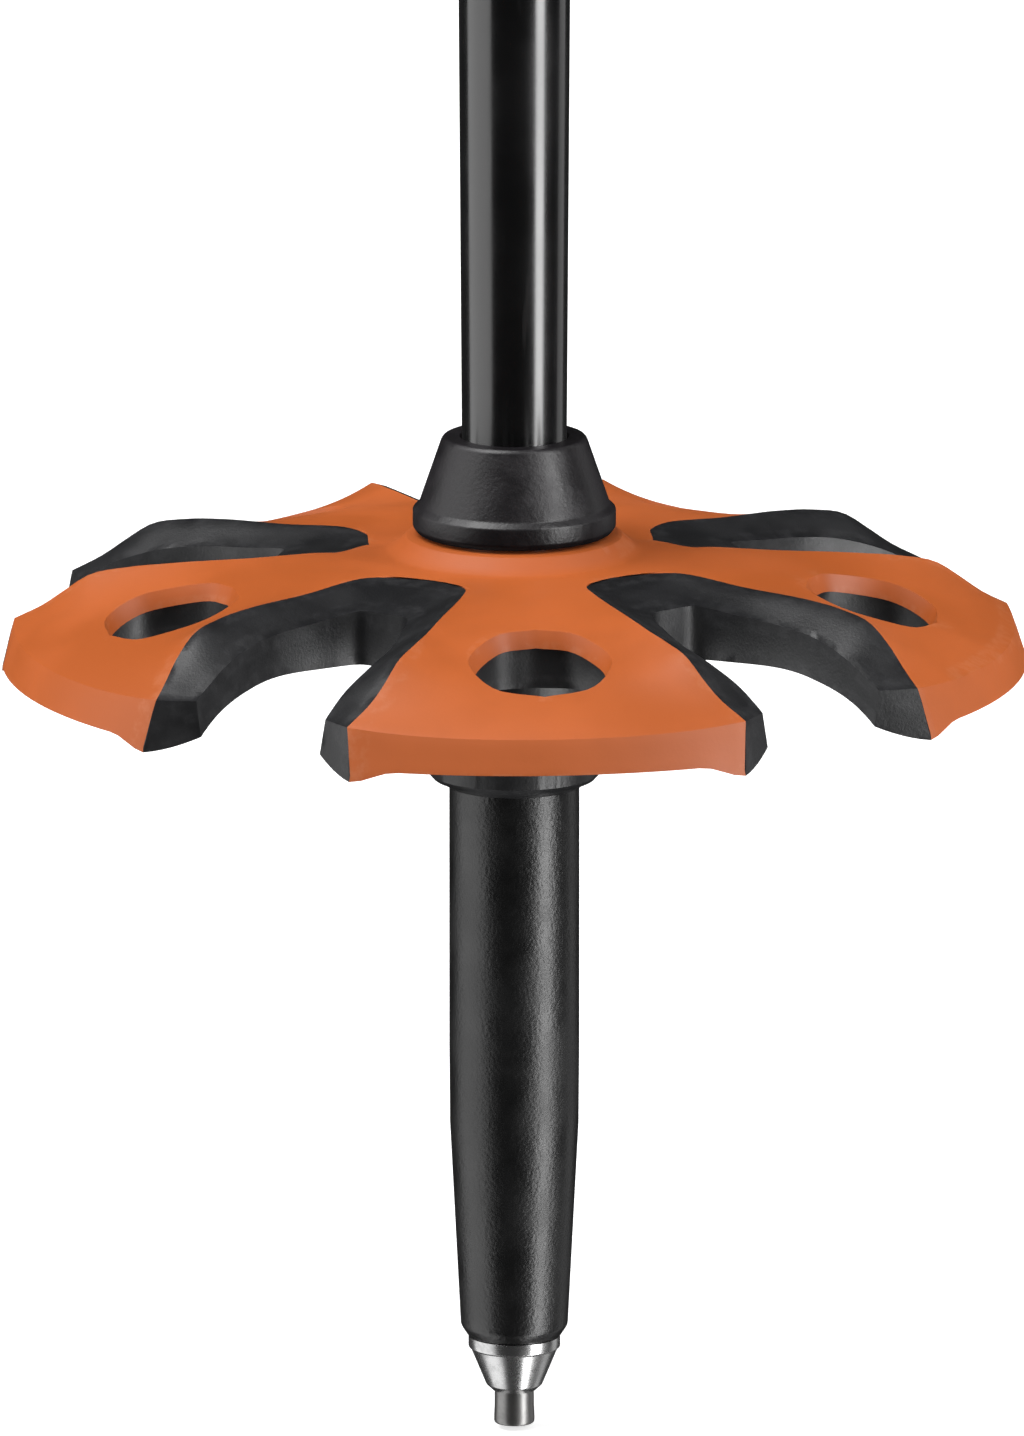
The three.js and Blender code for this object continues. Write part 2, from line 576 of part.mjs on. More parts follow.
function strapLine() {
  const [start, end, join] = [KEEPER.middle - 4, KEEPER.middle + 4, KEEPER.middle - 11];
  const upper = [onLegs(join, LEG_SPREAD + 1), onLegs(start, LEG_SPREAD), onLegs(end, LEG_SPREAD)];
  const lower = [onLegs(end, -LEG_SPREAD), onLegs(start, -LEG_SPREAD), onLegs(join, -LEG_SPREAD - 1)];
  const loop = STRAP_LOOP.map(([x, z]) => new THREE.Vector3(x, z, 0));
  const wrap = [-100, -50, 0, 50, 100].map((degrees) => {
    const angle = radians(degrees);
    return onLegs(-WRAP_RADIUS * Math.cos(angle), WRAP_RADIUS * Math.sin(angle));
  });
  return new THREE.CatmullRomCurve3([...upper, ...loop, ...lower, ...wrap], true, 'centripetal');
}

// A point beside the strap's middle line, positive towards the inside of the loop.
function besideStrap(line, t, offset) {
  const at = line.getPoint(t);
  const tangent = line.getTangent(t);
  return new THREE.Vector2(at.x - tangent.y * offset, at.y + tangent.x * offset);
}

function bandOf(outline, holes, width) {
  const shape = new THREE.Shape(outline);
  holes.forEach((hole) => shape.holes.push(new THREE.Path(hole)));
  return prism(shape, -width / 2, width / 2).rotate([90, 0, 0]).translate([STRAP_PIN.x, 0, STRAP_PIN.z]);
}

function strapWebbing() {
  const line = strapLine();
  const steps = 88; // four between one chosen point and the next
  const side = (offset) => Array.from({ length: steps }, (_, i) => besideStrap(line, i / steps, offset));
  return bandOf(side(-STRAP_THICKNESS / 2), [side(STRAP_THICKNESS / 2)], STRAP_WIDTH);
}

function strapPad() {
  const line = strapLine();
  const [from, to, steps] = [0.19, 0.34, 20];
  const near = STRAP_THICKNESS / 2 + GAP;
  const side = (offset) => Array.from({ length: steps + 1 }, (_, i) => (
    besideStrap(line, from + (to - from) * i / steps, offset)));
  return bandOf([...side(near), ...side(near + PAD_THICKNESS).reverse()], [], PAD_WIDTH);
}

function strapKeeper() {
  const room = LEG_SPREAD + STRAP_THICKNESS / 2 + GAP;
  const [length, side] = [KEEPER.length / 2, STRAP_WIDTH / 2 + GAP];
  const outside = [length, side + KEEPER.wall, room + KEEPER.wall];
  const inside = [length + 1, side, room];
  const ring = block(outside.map((v) => -v), outside).subtract(block(inside.map((v) => -v), inside));
  const middle = onLegs(KEEPER.middle, 0);
  return ring.rotate([0, -LEG_SLOPE_DEG, 0]).translate([STRAP_PIN.x + middle.x, 0, STRAP_PIN.z + middle.y]);
}

// ---- The pole -----------------------------------------------------------

const lowerSection = new THREE.Group();
lowerSection.add(
  piece('tip_pin', tipPin(), steel),
  piece('tip_ferrule', tipFerrule(), steel),
  piece('tip_sleeve', tipSleeve(), blackPlastic),
  piece('lower_shaft', lowerShaft(), blackAluminium),
  piece('guide_bush', guideBush(), blackPlastic),
  piece('stop_collar', stopCollar(), collarRubber),
);

const basket = new THREE.Group();
basket.add(
  piece('basket_core', basketCore(), darkPlastic),
  piece('basket_top', basketTop(), orangeRubber),
);

const clamp = new THREE.Group();
clamp.add(
  piece('clamp_liner', clampLiner(), blackPlastic),
  piece('clamp_body', clampBody(), blackPlastic),
  piece('clamp_bolt', clampBolt(), steel),
  piece('lever_barrel', leverBarrel(), steel),
  piece('adjuster_washer', adjusterWasher(), steel),
  piece('adjuster_nut', adjusterNut(), steel),
  piece('clamp_lever', clampLever(), blackAluminium),
);

const grip = new THREE.Group();
grip.add(
  piece('grip_core', gripCore(), darkPlastic),
  piece('grip_body', gripBody(), gripRubber),
  piece('grip_cap', gripCap(), orangeRubber),
  piece('grip_extension', gripExtension(), foam),
  piece('extension_ring', extensionRing(), blackPlastic),
  piece('strap_pin', strapPin(), steel),
  piece('strap_wedge', strapWedge(), darkPlastic),
);

const strap = new THREE.Group();
strap.add(
  piece('strap_webbing', strapWebbing(), webbing),
  piece('strap_pad', strapPad(), webbing),
  piece('strap_keeper', strapKeeper(), blackPlastic),
);

const pole = new THREE.Group();
pole.add(lowerSection, basket, piece('upper_shaft', upperShaft(), blackAluminium), clamp, grip, strap);

export default pole;
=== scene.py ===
# %% [markdown]
# # A ski pole, from its steel pin to its wrist strap
# The design of the pole is already settled: its solids come in as a fixed frame, with their places and
# their joints. This script makes the surfaces that a person would look at. Each cell makes one piece or
# one finish, and says what it is on the real pole and why it is made in this way.

# %% Load the frame
import math

import bmesh
import bpy
import numpy as np
from mathutils import Matrix, Vector


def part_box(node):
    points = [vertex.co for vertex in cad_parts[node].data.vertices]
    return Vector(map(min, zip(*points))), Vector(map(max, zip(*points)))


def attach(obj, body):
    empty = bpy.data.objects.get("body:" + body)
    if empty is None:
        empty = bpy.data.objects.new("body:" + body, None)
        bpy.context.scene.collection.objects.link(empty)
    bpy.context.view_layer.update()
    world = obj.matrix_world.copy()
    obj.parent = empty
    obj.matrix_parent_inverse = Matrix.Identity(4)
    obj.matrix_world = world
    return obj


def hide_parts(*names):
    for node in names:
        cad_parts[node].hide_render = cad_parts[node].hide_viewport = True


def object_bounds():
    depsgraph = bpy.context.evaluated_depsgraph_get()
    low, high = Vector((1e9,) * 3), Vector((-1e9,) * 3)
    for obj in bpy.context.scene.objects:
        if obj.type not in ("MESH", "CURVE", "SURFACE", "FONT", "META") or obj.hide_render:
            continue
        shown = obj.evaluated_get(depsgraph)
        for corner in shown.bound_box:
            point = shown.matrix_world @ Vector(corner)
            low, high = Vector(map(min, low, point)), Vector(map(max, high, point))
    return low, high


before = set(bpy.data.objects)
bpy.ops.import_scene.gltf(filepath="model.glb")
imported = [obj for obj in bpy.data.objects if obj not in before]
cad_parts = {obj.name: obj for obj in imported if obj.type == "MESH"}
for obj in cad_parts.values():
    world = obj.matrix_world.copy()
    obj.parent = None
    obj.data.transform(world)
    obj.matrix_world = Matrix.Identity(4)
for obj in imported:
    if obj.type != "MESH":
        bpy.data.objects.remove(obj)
cad_low, cad_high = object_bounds()
MM = 0.001
TURN = 2 * math.pi
print("frame box, mm:", [round(v / MM) for v in cad_low], [round(v / MM) for v in cad_high])


# %% [markdown]
# ## Camera
# The camera stands far away with a long lens, a little above the basket, so that the basket shows as a
# flat ellipse and the shaft's edges stay almost parallel. It is set by its angle over the basket and by
# how many millimetres of the pole fill the view from top to bottom.

# %% Camera
VIEW_ELEVATION = math.radians(13.1)
VIEW_DISTANCE = 2500
VIEW_HEIGHT = 141.06
VIEW_AIM = Vector((-0.23, 0, 71.45))


def add_camera():
    data = bpy.data.cameras.new("camera")
    data.lens = data.sensor_width * VIEW_DISTANCE / VIEW_HEIGHT
    data.clip_start, data.clip_end = 0.1, 100
    camera = bpy.data.objects.new("camera", data)
    back = Vector((0, -math.cos(VIEW_ELEVATION), math.sin(VIEW_ELEVATION)))
    camera.location = (VIEW_AIM + back * VIEW_DISTANCE) * MM
    camera.rotation_euler = (-back).to_track_quat("-Z", "Y").to_euler()
    bpy.context.collection.objects.link(camera)
    bpy.context.scene.camera = camera
    return camera


print("lens, mm:", round(add_camera().data.lens))


# %% [markdown]
# ## Studio
# Black gloss shows nothing but its surroundings, so the lights are tall sheets beside the pole: a broad
# soft one on the left, a narrow bright one on the right and a faint one behind the right edge. A sheet
# high on the left lights the top of the basket. On the right, one sheet shows only in gloss and another
# lights only matt surfaces, so that the highlight on the tube does not decide how bright the plastic is.
# The floor is pale, but it is kept out of the reflections, which would otherwise turn the gloss grey.

# %% Floor and world
PALE = (0.93, 0.93, 0.93)
MATT_SKY, GLOSS_SKY = 0.26, 0.02


def add_floor():
    bm = bmesh.new()
    bmesh.ops.create_circle(bm, cap_ends=True, segments=96, radius=60)
    mesh = bpy.data.meshes.new("floor")
    bm.to_mesh(mesh)
    bm.free()
    floor = bpy.data.objects.new("floor", mesh)
    floor.location.z = -0.0005
    floor.visible_glossy = floor.visible_diffuse = floor.visible_shadow = False
    bpy.context.collection.objects.link(floor)
    paper = bpy.data.materials.new("paper")
    paper.use_nodes = True
    shader = paper.node_tree.nodes["Principled BSDF"]
    shader.inputs["Base Color"].default_value = (*PALE, 1)
    shader.inputs["Roughness"].default_value = 0.9
    shader.inputs["Specular IOR Level"].default_value = 0
    shader.inputs["Emission Color"].default_value = (1, 1, 1, 1)
    shader.inputs["Emission Strength"].default_value = 0.6
    mesh.materials.append(paper)


def set_world(matt_strength, gloss_strength):
    """White to look at, softer for matt surfaces, and almost black in reflections."""
    world = bpy.data.worlds.new("studio")
    bpy.context.scene.world = world
    world.use_nodes = True
    nodes, links = world.node_tree.nodes, world.node_tree.links
    nodes.clear()
    path, out = nodes.new("ShaderNodeLightPath"), nodes.new("ShaderNodeOutputWorld")
    shown = None
    for ray, strength in ((None, matt_strength), ("Is Glossy Ray", gloss_strength), ("Is Camera Ray", 1.0)):
        sky = nodes.new("ShaderNodeBackground")
        sky.inputs["Color"].default_value = (1, 1, 1, 1)
        sky.inputs["Strength"].default_value = strength
        if shown is None:
            shown = sky
            continue
        mix = nodes.new("ShaderNodeMixShader")
        links.new(path.outputs[ray], mix.inputs["Fac"])
        links.new(shown.outputs[0], mix.inputs[1])
        links.new(sky.outputs[0], mix.inputs[2])
        shown = mix
    links.new(shown.outputs[0], out.inputs["Surface"])


add_floor()
set_world(MATT_SKY, GLOSS_SKY)
bpy.context.scene.view_settings.view_transform = "Standard"


# %% Strip lights
def add_sheet(name, azimuth, distance, width, height, middle, power, seen_by):
    """A sheet of light facing the pole, seen by matt surfaces, by gloss or by both. Azimuth 0 is the
    camera's side, positive to its right."""
    data = bpy.data.lights.new(name, "AREA")
    data.shape = "RECTANGLE"
    data.size, data.size_y, data.energy = width, height, power
    lamp = bpy.data.objects.new(name, data)
    angle = math.radians(azimuth)
    lamp.location = Vector((math.sin(angle) * distance, -math.cos(angle) * distance, middle))
    aim = Vector((0, 0, min(middle, 0.2))) - lamp.location
    lamp.rotation_euler = aim.to_track_quat("-Z", "Y").to_euler()
    lamp.visible_camera = False
    lamp.visible_diffuse = seen_by != "gloss"
    lamp.visible_glossy = seen_by != "matt"
    bpy.context.collection.objects.link(lamp)


add_sheet("left_sheet", -84, 1.2, 1.5, 5.6, -0.4, 27, "both")
add_sheet("right_strip", 57, 1.2, 0.42, 5.6, -0.4, 40, "gloss")
add_sheet("right_fill", 75, 1.2, 0.42, 4.0, 0.2, 22, "matt")
add_sheet("right_edge", 122, 1.2, 0.5, 4.0, 0.2, 2.6, "both")
add_sheet("overhead", -75, 0.95, 1.6, 1.6, 2.1, 33, "both")


# %% [markdown]
# ## Effects that several finishes share
# Moulded plastic, rubber and coated metal all have a fine grain, and all of them are a little uneven in
# colour and scuffed from use. Each effect is one node group with named inputs, and every finish sets its
# own values. A group gives only masks and heights; the shader stays in the finish.

# %% Node group helpers
def new_group(name, inputs, outputs):
    group = bpy.data.node_groups.new(name, "ShaderNodeTree")
    for label, default in inputs:
        socket = group.interface.new_socket(label, in_out="INPUT", socket_type="NodeSocketFloat")
        socket.default_value = default
    for label in outputs:
        group.interface.new_socket(label, in_out="OUTPUT", socket_type="NodeSocketFloat")
    ends = group.nodes.new("NodeGroupInput"), group.nodes.new("NodeGroupOutput")
    coords = group.nodes.new("ShaderNodeTexCoord")
    return group, *ends, coords


def noise_node(tree, coords, scale, detail=2.0, rough=0.5):
    node = tree.nodes.new("ShaderNodeTexNoise")
    tree.links.new(coords, node.inputs["Vector"])
    if isinstance(scale, (int, float)):
        node.inputs["Scale"].default_value = scale
    else:
        tree.links.new(scale, node.inputs["Scale"])
    node.inputs["Detail"].default_value = detail
    node.inputs["Roughness"].default_value = rough
    return node


def ramp_node(tree, value, low, high, smooth=True):
    node = tree.nodes.new("ShaderNodeMapRange")
    node.interpolation_type = "SMOOTHSTEP" if smooth else "LINEAR"
    node.inputs["From Min"].default_value = low
    node.inputs["From Max"].default_value = high
    tree.links.new(value, node.inputs["Value"])
    return node


def math_node(tree, operation, first, second):
    node = tree.nodes.new("ShaderNodeMath")
    node.operation = operation
    for socket, value in zip(node.inputs, (first, second)):
        if isinstance(value, (int, float)):
            socket.default_value = value
        else:
            tree.links.new(value, socket)
    return node.outputs[0]


# %% Grain and wear groups
def build_grain():
    inputs = [("Fine Scale", 4000), ("Blotch Scale", 120)]
    group, start, end, coords = new_group("moulded_grain", inputs, ["Height", "Blotch"])
    fine = noise_node(group, coords.outputs["Object"], start.outputs["Fine Scale"], 3, 0.6)
    blotch = noise_node(group, coords.outputs["Object"], start.outputs["Blotch Scale"], 4, 0.55)
    group.links.new(fine.outputs["Fac"], end.inputs["Height"])
    spread = ramp_node(group, blotch.outputs["Fac"], 0.35, 0.65)
    group.links.new(spread.outputs[0], end.inputs["Blotch"])
    return group


def build_wear():
    """Rubbed convex edges from the surface's pointiness, broken up by noise, and thin scratches."""
    inputs = [("Edge Amount", 0.5), ("Scratch Amount", 0.3)]
    group, start, end, coords = new_group("wear", inputs, ["Edge", "Scratch"])
    shape = group.nodes.new("ShaderNodeNewGeometry")
    convex = ramp_node(group, shape.outputs["Pointiness"], 0.505, 0.56)
    patches = noise_node(group, coords.outputs["Object"], 600, 4, 0.65)
    broken = ramp_node(group, patches.outputs["Fac"], 0.42, 0.66)
    edge = math_node(group, "MULTIPLY", convex.outputs[0], broken.outputs[0])
    group.links.new(math_node(group, "MULTIPLY", edge, start.outputs["Edge Amount"]), end.inputs["Edge"])
    stretch = group.nodes.new("ShaderNodeMapping")
    stretch.inputs["Scale"].default_value = (900, 900, 60)
    stretch.inputs["Rotation"].default_value = (0.3, 0.2, 0)
    group.links.new(coords.outputs["Object"], stretch.inputs["Vector"])
    hair = noise_node(group, stretch.outputs[0], 1.0, 2, 0.5)
    line = ramp_node(group, hair.outputs["Fac"], 0.68, 0.76)
    scratch = math_node(group, "MULTIPLY", line.outputs[0], start.outputs["Scratch Amount"])
    group.links.new(scratch, end.inputs["Scratch"])
    return group


GRAIN, WEAR = build_grain(), build_wear()


# %% Finish builder
class Finish:
    """A material being put together: its node tree, its shader, and its grain and wear groups."""

    def __init__(self, name, color, roughness, metallic=0.0, specular=0.5):
        self.material = bpy.data.materials.new(name)
        self.material.use_nodes = True
        self.tree = self.material.node_tree
        self.shader = self.tree.nodes["Principled BSDF"]
        self.coords = self.tree.nodes.new("ShaderNodeTexCoord").outputs["Object"]
        self.color, self.roughness = color, roughness
        self.shader.inputs["Metallic"].default_value = metallic
        self.shader.inputs["Specular IOR Level"].default_value = specular

    def group(self, group, **values):
        node = self.tree.nodes.new("ShaderNodeGroup")
        node.node_tree = group
        for label, value in values.items():
            node.inputs[label.replace("_", " ")].default_value = value
        return node

    def mix(self, mask, first, second):
        node = self.tree.nodes.new("ShaderNodeMix")
        node.data_type = "RGBA"
        self.tree.links.new(mask, node.inputs["Factor"])
        for socket, value in ((node.inputs[6], first), (node.inputs[7], second)):
            if isinstance(value, tuple):
                socket.default_value = (*value, 1)
            else:
                self.tree.links.new(value, socket)
        return node.outputs[2]

    def shade(self, color, roughness):
        self.tree.links.new(color, self.shader.inputs["Base Color"])
        self.tree.links.new(roughness, self.shader.inputs["Roughness"])

    def bump(self, height, distance, strength=1.0):
        node = self.tree.nodes.new("ShaderNodeBump")
        node.inputs["Distance"].default_value = distance
        node.inputs["Strength"].default_value = strength
        self.tree.links.new(height, node.inputs["Height"])
        self.tree.links.new(node.outputs[0], self.shader.inputs["Normal"])


def scaled(color, factor):
    return tuple(min(1.0, channel * factor) for channel in color)


def moulded(name, color, roughness, worn, fine=4000, blotch=120, bump=0.00002, edge=0.5, scratch=0.3,
            specular=0.5, spread=0.12):
    """Moulded plastic or rubber: grained, blotchy, paler where its edges are rubbed."""
    finish = Finish(name, color, roughness, specular=specular)
    grain = finish.group(GRAIN, Fine_Scale=fine, Blotch_Scale=blotch)
    wear = finish.group(WEAR, Edge_Amount=edge, Scratch_Amount=scratch)
    base = finish.mix(grain.outputs["Blotch"], scaled(color, 1 - spread), scaled(color, 1 + spread))
    rubbed = finish.mix(wear.outputs["Edge"], base, worn)
    marked = finish.mix(wear.outputs["Scratch"], rubbed, worn)
    rough = ramp_node(finish.tree, grain.outputs["Blotch"], 0, 1, smooth=False)
    rough.inputs["To Min"].default_value = roughness - 0.05
    rough.inputs["To Max"].default_value = roughness + 0.06
    finish.shade(marked, rough.outputs[0])
    finish.bump(grain.outputs["Height"], bump)
    return finish


# %% [markdown]
# ## Finishes
# The basket is two plastics moulded together, a soft orange one over a hard dark grey one. The tip is
# satin black with a spark-eroded grain; the collar is softer, with a trace of purple. The shaft is black
# gloss over aluminium, and the point is turned steel.

# %% Moulded finishes
orange = moulded("orange_overmould", (0.6, 0.127, 0.018), 0.5, (0.78, 0.34, 0.18), fine=2600, blotch=55,
                 bump=0.000012, edge=0.15, scratch=0.0, spread=0.06, specular=0.55)
core_grey = moulded("basket_core_plastic", (0.0125, 0.0128, 0.0145), 0.42, (0.085, 0.085, 0.09), fine=3500,
                    blotch=160, bump=0.00003, edge=0.18, scratch=0.1, specular=0.8)
collar_grey = moulded("collar_soft_plastic", (0.0105, 0.0085, 0.011), 0.4, (0.06, 0.055, 0.06), fine=2200,
                      blotch=260, bump=0.00004, edge=0.12, scratch=0.05, specular=0.8, spread=0.25)
sleeve_black = moulded("tip_satin_black", (0.0036, 0.0036, 0.004), 0.36, (0.04, 0.04, 0.042), fine=2600,
                       blotch=150, bump=0.00005, edge=0.1, scratch=0.08, specular=1.0)
trim_black = moulded("trim_black", (0.011, 0.0112, 0.0125), 0.42, (0.05, 0.05, 0.053), bump=0.00002,
                     edge=0.12, scratch=0.12, specular=0.8)
grip_black = moulded("grip_rubber", (0.017, 0.0175, 0.019), 0.68, (0.07, 0.07, 0.072), fine=1800,
                     bump=0.00008, scratch=0.1)
foam_black = moulded("closed_cell_foam", (0.022, 0.0225, 0.024), 0.85, (0.06, 0.06, 0.062), fine=1300,
                     bump=0.00012, scratch=0.05)


# %% Coated tube
def gloss_tube():
    """Black gloss over aluminium: a deep coat, faint drawing lines along it and a few fine scratches."""
    color = (0.0035, 0.0035, 0.004)
    finish = Finish("gloss_black_tube", color, 0.24, specular=1.0)
    finish.shader.inputs["Coat Weight"].default_value = 1.0
    finish.shader.inputs["Coat Roughness"].default_value = 0.15
    grain = finish.group(GRAIN, Fine_Scale=2500, Blotch_Scale=90)
    wear = finish.group(WEAR, Edge_Amount=0.3, Scratch_Amount=0.35)
    base = finish.mix(grain.outputs["Blotch"], scaled(color, 0.8), scaled(color, 1.3))
    marked = finish.mix(wear.outputs["Scratch"], base, (0.05, 0.05, 0.052))
    rough = ramp_node(finish.tree, grain.outputs["Blotch"], 0, 1, smooth=False)
    rough.inputs["To Min"].default_value, rough.inputs["To Max"].default_value = 0.2, 0.27
    finish.shade(marked, rough.outputs[0])
    stretch = finish.tree.nodes.new("ShaderNodeMapping")
    stretch.inputs["Scale"].default_value = (1500, 1500, 20)
    finish.tree.links.new(finish.coords, stretch.inputs["Vector"])
    drawn = noise_node(finish.tree, stretch.outputs[0], 1.0, 2)
    finish.bump(drawn.outputs["Fac"], 0.000006)
    return finish


# %% Turned steel
def turned_steel(name, color, roughness):
    """Bare steel with the fine rings that a lathe tool leaves, and darker grime."""
    finish = Finish(name, color, roughness, metallic=1.0)
    rings = finish.tree.nodes.new("ShaderNodeTexWave")
    rings.bands_direction = "Z"
    rings.inputs["Scale"].default_value = 1100
    rings.inputs["Distortion"].default_value = 1.5
    rings.inputs["Detail"].default_value = 2
    finish.tree.links.new(finish.coords, rings.inputs["Vector"])
    grime = noise_node(finish.tree, finish.coords, 900, 5, 0.7)
    stain = ramp_node(finish.tree, grime.outputs["Fac"], 0.42, 0.75)
    base = finish.mix(stain.outputs[0], color, scaled(color, 0.75))
    rough = ramp_node(finish.tree, stain.outputs[0], 0, 1, smooth=False)
    rough.inputs["To Min"].default_value, rough.inputs["To Max"].default_value = roughness, roughness + 0.06
    finish.shade(base, rough.outputs[0])
    finish.bump(rings.outputs["Fac"], 0.000001)
    return finish


tube_black = gloss_tube()
ferrule_steel = turned_steel("ferrule_steel", (0.8, 0.8, 0.8), 0.26)
pin_steel = turned_steel("pin_steel", (0.34, 0.335, 0.33), 0.38)
print("finishes:", len(bpy.data.materials))


# %% [markdown]
# ## How a turned piece is made
# Most of a pole is turned or drawn: its outline is drawn once, as radius and height, and spun round the
# axis. Hard corners do not exist on real mouldings, so on nearly every piece the rings where the surface
# turns sharply are bevelled afterwards, which also gives each edge its thin highlight.

# %% Helpers for every piece
def reach(node):
    """Radius and lowest and highest height of a node that stands round the axis, in millimetres."""
    low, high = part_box(node)
    return (high[0] - low[0]) / 2 / MM, low[2] / MM, high[2] / MM


def spun(outline, steps=160):
    bm = bmesh.new()
    verts = [bm.verts.new((radius, 0, z)) for radius, z in outline]
    pairs = list(zip(verts, verts[1:]))
    if outline[0][0] > 0:
        pairs.append((verts[-1], verts[0]))
    edges = [bm.edges.new(pair) for pair in pairs]
    bmesh.ops.spin(bm, geom=verts + edges, cent=(0, 0, 0), axis=(0, 0, 1), angle=TURN, steps=steps,
                   use_merge=True)
    bmesh.ops.remove_doubles(bm, verts=bm.verts, dist=1e-4)
    bmesh.ops.recalc_face_normals(bm, faces=bm.faces)
    return bm


def soften(bm, width, sharper_than=25, segments=3):
    """Round every edge where the surface turns more sharply than an angle in degrees."""
    limit = math.radians(sharper_than)
    edges = [e for e in bm.edges if e.is_manifold and e.calc_face_angle(0) > limit]
    bmesh.ops.bevel(bm, geom=edges, offset=width, segments=segments, profile=0.5, affect="EDGES",
                    clamp_overlap=True, material=-1)


def make_piece(bm, name, body, finish, slot, *nodes, smooth_to=35):
    """Turn a bmesh in millimetres into a piece of the pole that stands for its frame nodes."""
    bmesh.ops.scale(bm, vec=(MM, MM, MM), verts=bm.verts)
    mesh = bpy.data.meshes.new(name)
    bm.to_mesh(mesh)
    bm.free()
    mesh.shade_smooth()
    mesh.set_sharp_from_angle(angle=math.radians(smooth_to))
    mesh.materials.append(finish.material)
    piece = bpy.data.objects.new(name, mesh)
    bpy.context.collection.objects.link(piece)
    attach(piece, body)
    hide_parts(*nodes)
    print(name, "faces:", len(mesh.polygons))
    return piece


# %% [markdown]
# ## Steel point
# The pin is pressed into a turned ferrule. The ferrule has a narrow bright land under the plastic, a
# cone, and a short chamfer where the pin comes out. Both are spun from their outlines, so the land and the
# cone keep the crisp line between them that only a lathe gives.

# %% Pin and ferrule
_, pin_bottom, pin_top = reach("tip_pin")
_, ferrule_bottom, ferrule_shank_top = reach("tip_ferrule")
sleeve_radius, sleeve_bottom, sleeve_top = reach("tip_sleeve")
ferrule_top = sleeve_bottom - 0.3

pin = spun([(0, pin_bottom), (1.99, pin_bottom), (2.0, 0.6), (1.95, 1.8), (1.93, ferrule_bottom + 0.2),
            (1.4, ferrule_bottom + 0.4), (1.4, pin_top), (0, pin_top)], 96)
soften(pin, 0.26)
make_piece(pin, "tip_pin_turned", "lower_section", pin_steel, "steel", "tip_pin")

FERRULE_RADIUS = 4.53
ferrule = spun([(1.97, ferrule_bottom - 0.1), (2.08, ferrule_bottom - 0.15), (2.78, ferrule_bottom + 0.5),
                (FERRULE_RADIUS - 0.22, ferrule_top - 1.0), (FERRULE_RADIUS, ferrule_top - 0.85),
                (FERRULE_RADIUS, ferrule_top + 0.25), (2.9, ferrule_top + 0.25), (2.9, ferrule_shank_top),
                (1.7, ferrule_shank_top), (1.7, ferrule_bottom + 1.2), (1.97, ferrule_bottom + 0.9)], 128)
soften(ferrule, 0.1, 12)
make_piece(ferrule, "tip_ferrule_turned", "lower_section", ferrule_steel, "steel", "tip_ferrule")


# %% [markdown]
# ## Tip sleeve
# A satin black moulding that carries the ferrule and the basket. It is straight where the basket sits and
# tapers over the lowest third, with a short chamfer above the metal.

# %% Tip sleeve
SLEEVE_END_RADIUS = 5.28
SLEEVE_TAPER_TOP = 34.6
sleeve = spun([(3.2, sleeve_bottom), (SLEEVE_END_RADIUS - 0.7, sleeve_bottom),
               (SLEEVE_END_RADIUS, sleeve_bottom + 1.1), (sleeve_radius - 0.06, SLEEVE_TAPER_TOP - 4),
               (sleeve_radius, SLEEVE_TAPER_TOP + 4), (sleeve_radius, sleeve_top), (5.5, sleeve_top),
               (5.2, 46), (3.2, 45), (3.2, 26)])
soften(sleeve, 0.22)
make_piece(sleeve, "tip_sleeve_moulded", "lower_section", sleeve_black, "black_plastic", "tip_sleeve")


# %% [markdown]
# ## Shafts
# The lower tube grows evenly from the collar up to its full 14 mm and is then straight, so that it can
# slide in the upper tube. Both are thin-walled tubes with broken edges.

# %% Lower and upper shaft
shaft_radius, shaft_bottom, shaft_top = reach("lower_shaft")
collar_radius, collar_bottom, collar_top = reach("stop_collar")
RADIUS_AT_COLLAR = 5.15
TAPER = 0.0068
taper_end = collar_top + (shaft_radius - RADIUS_AT_COLLAR) / TAPER
seat_radius = RADIUS_AT_COLLAR + (shaft_bottom - collar_top) * TAPER

lower = spun([(seat_radius - 0.8, shaft_bottom), (seat_radius, shaft_bottom), (shaft_radius, taper_end),
              (shaft_radius, shaft_top), (shaft_radius - 0.8, shaft_top), (shaft_radius - 0.8, taper_end)])
soften(lower, 0.15, 40)
make_piece(lower, "lower_shaft_tube", "lower_section", tube_black, "black_shaft", "lower_shaft")

upper_radius, upper_bottom, upper_top = reach("upper_shaft")
upper = spun([(upper_radius - 0.6, upper_bottom), (upper_radius, upper_bottom), (upper_radius, upper_top),
              (upper_radius - 0.6, upper_top)])
soften(upper, 0.12, 40)
make_piece(upper, "upper_shaft_tube", "upper_section", tube_black, "black_shaft", "upper_shaft")


# %% [markdown]
# ## Stop collar
# A soft cone that keeps the basket down. Its foot is a straight band with a chamfered shoulder, its side
# is a straight cone, and its top is a narrow flat ring round the shaft. The collar is kept out of
# reflections, so that the gloss of the shaft above it stays clear.

# %% Stop collar
COLLAR_TOP_RADIUS = 7.15
COLLAR_BORE = 5.3
collar = spun([(COLLAR_BORE, collar_bottom), (collar_radius - 0.4, collar_bottom),
               (collar_radius, collar_bottom + 0.55), (collar_radius, collar_bottom + 2.2),
               (collar_radius - 0.6, collar_bottom + 2.75), (COLLAR_TOP_RADIUS, collar_top - 0.3),
               (COLLAR_TOP_RADIUS - 0.3, collar_top), (COLLAR_BORE, collar_top)])
soften(collar, 0.14, 14)
stop = make_piece(collar, "stop_collar_moulded", "lower_section", collar_grey, "collar_rubber", "stop_collar")
stop.visible_glossy = False


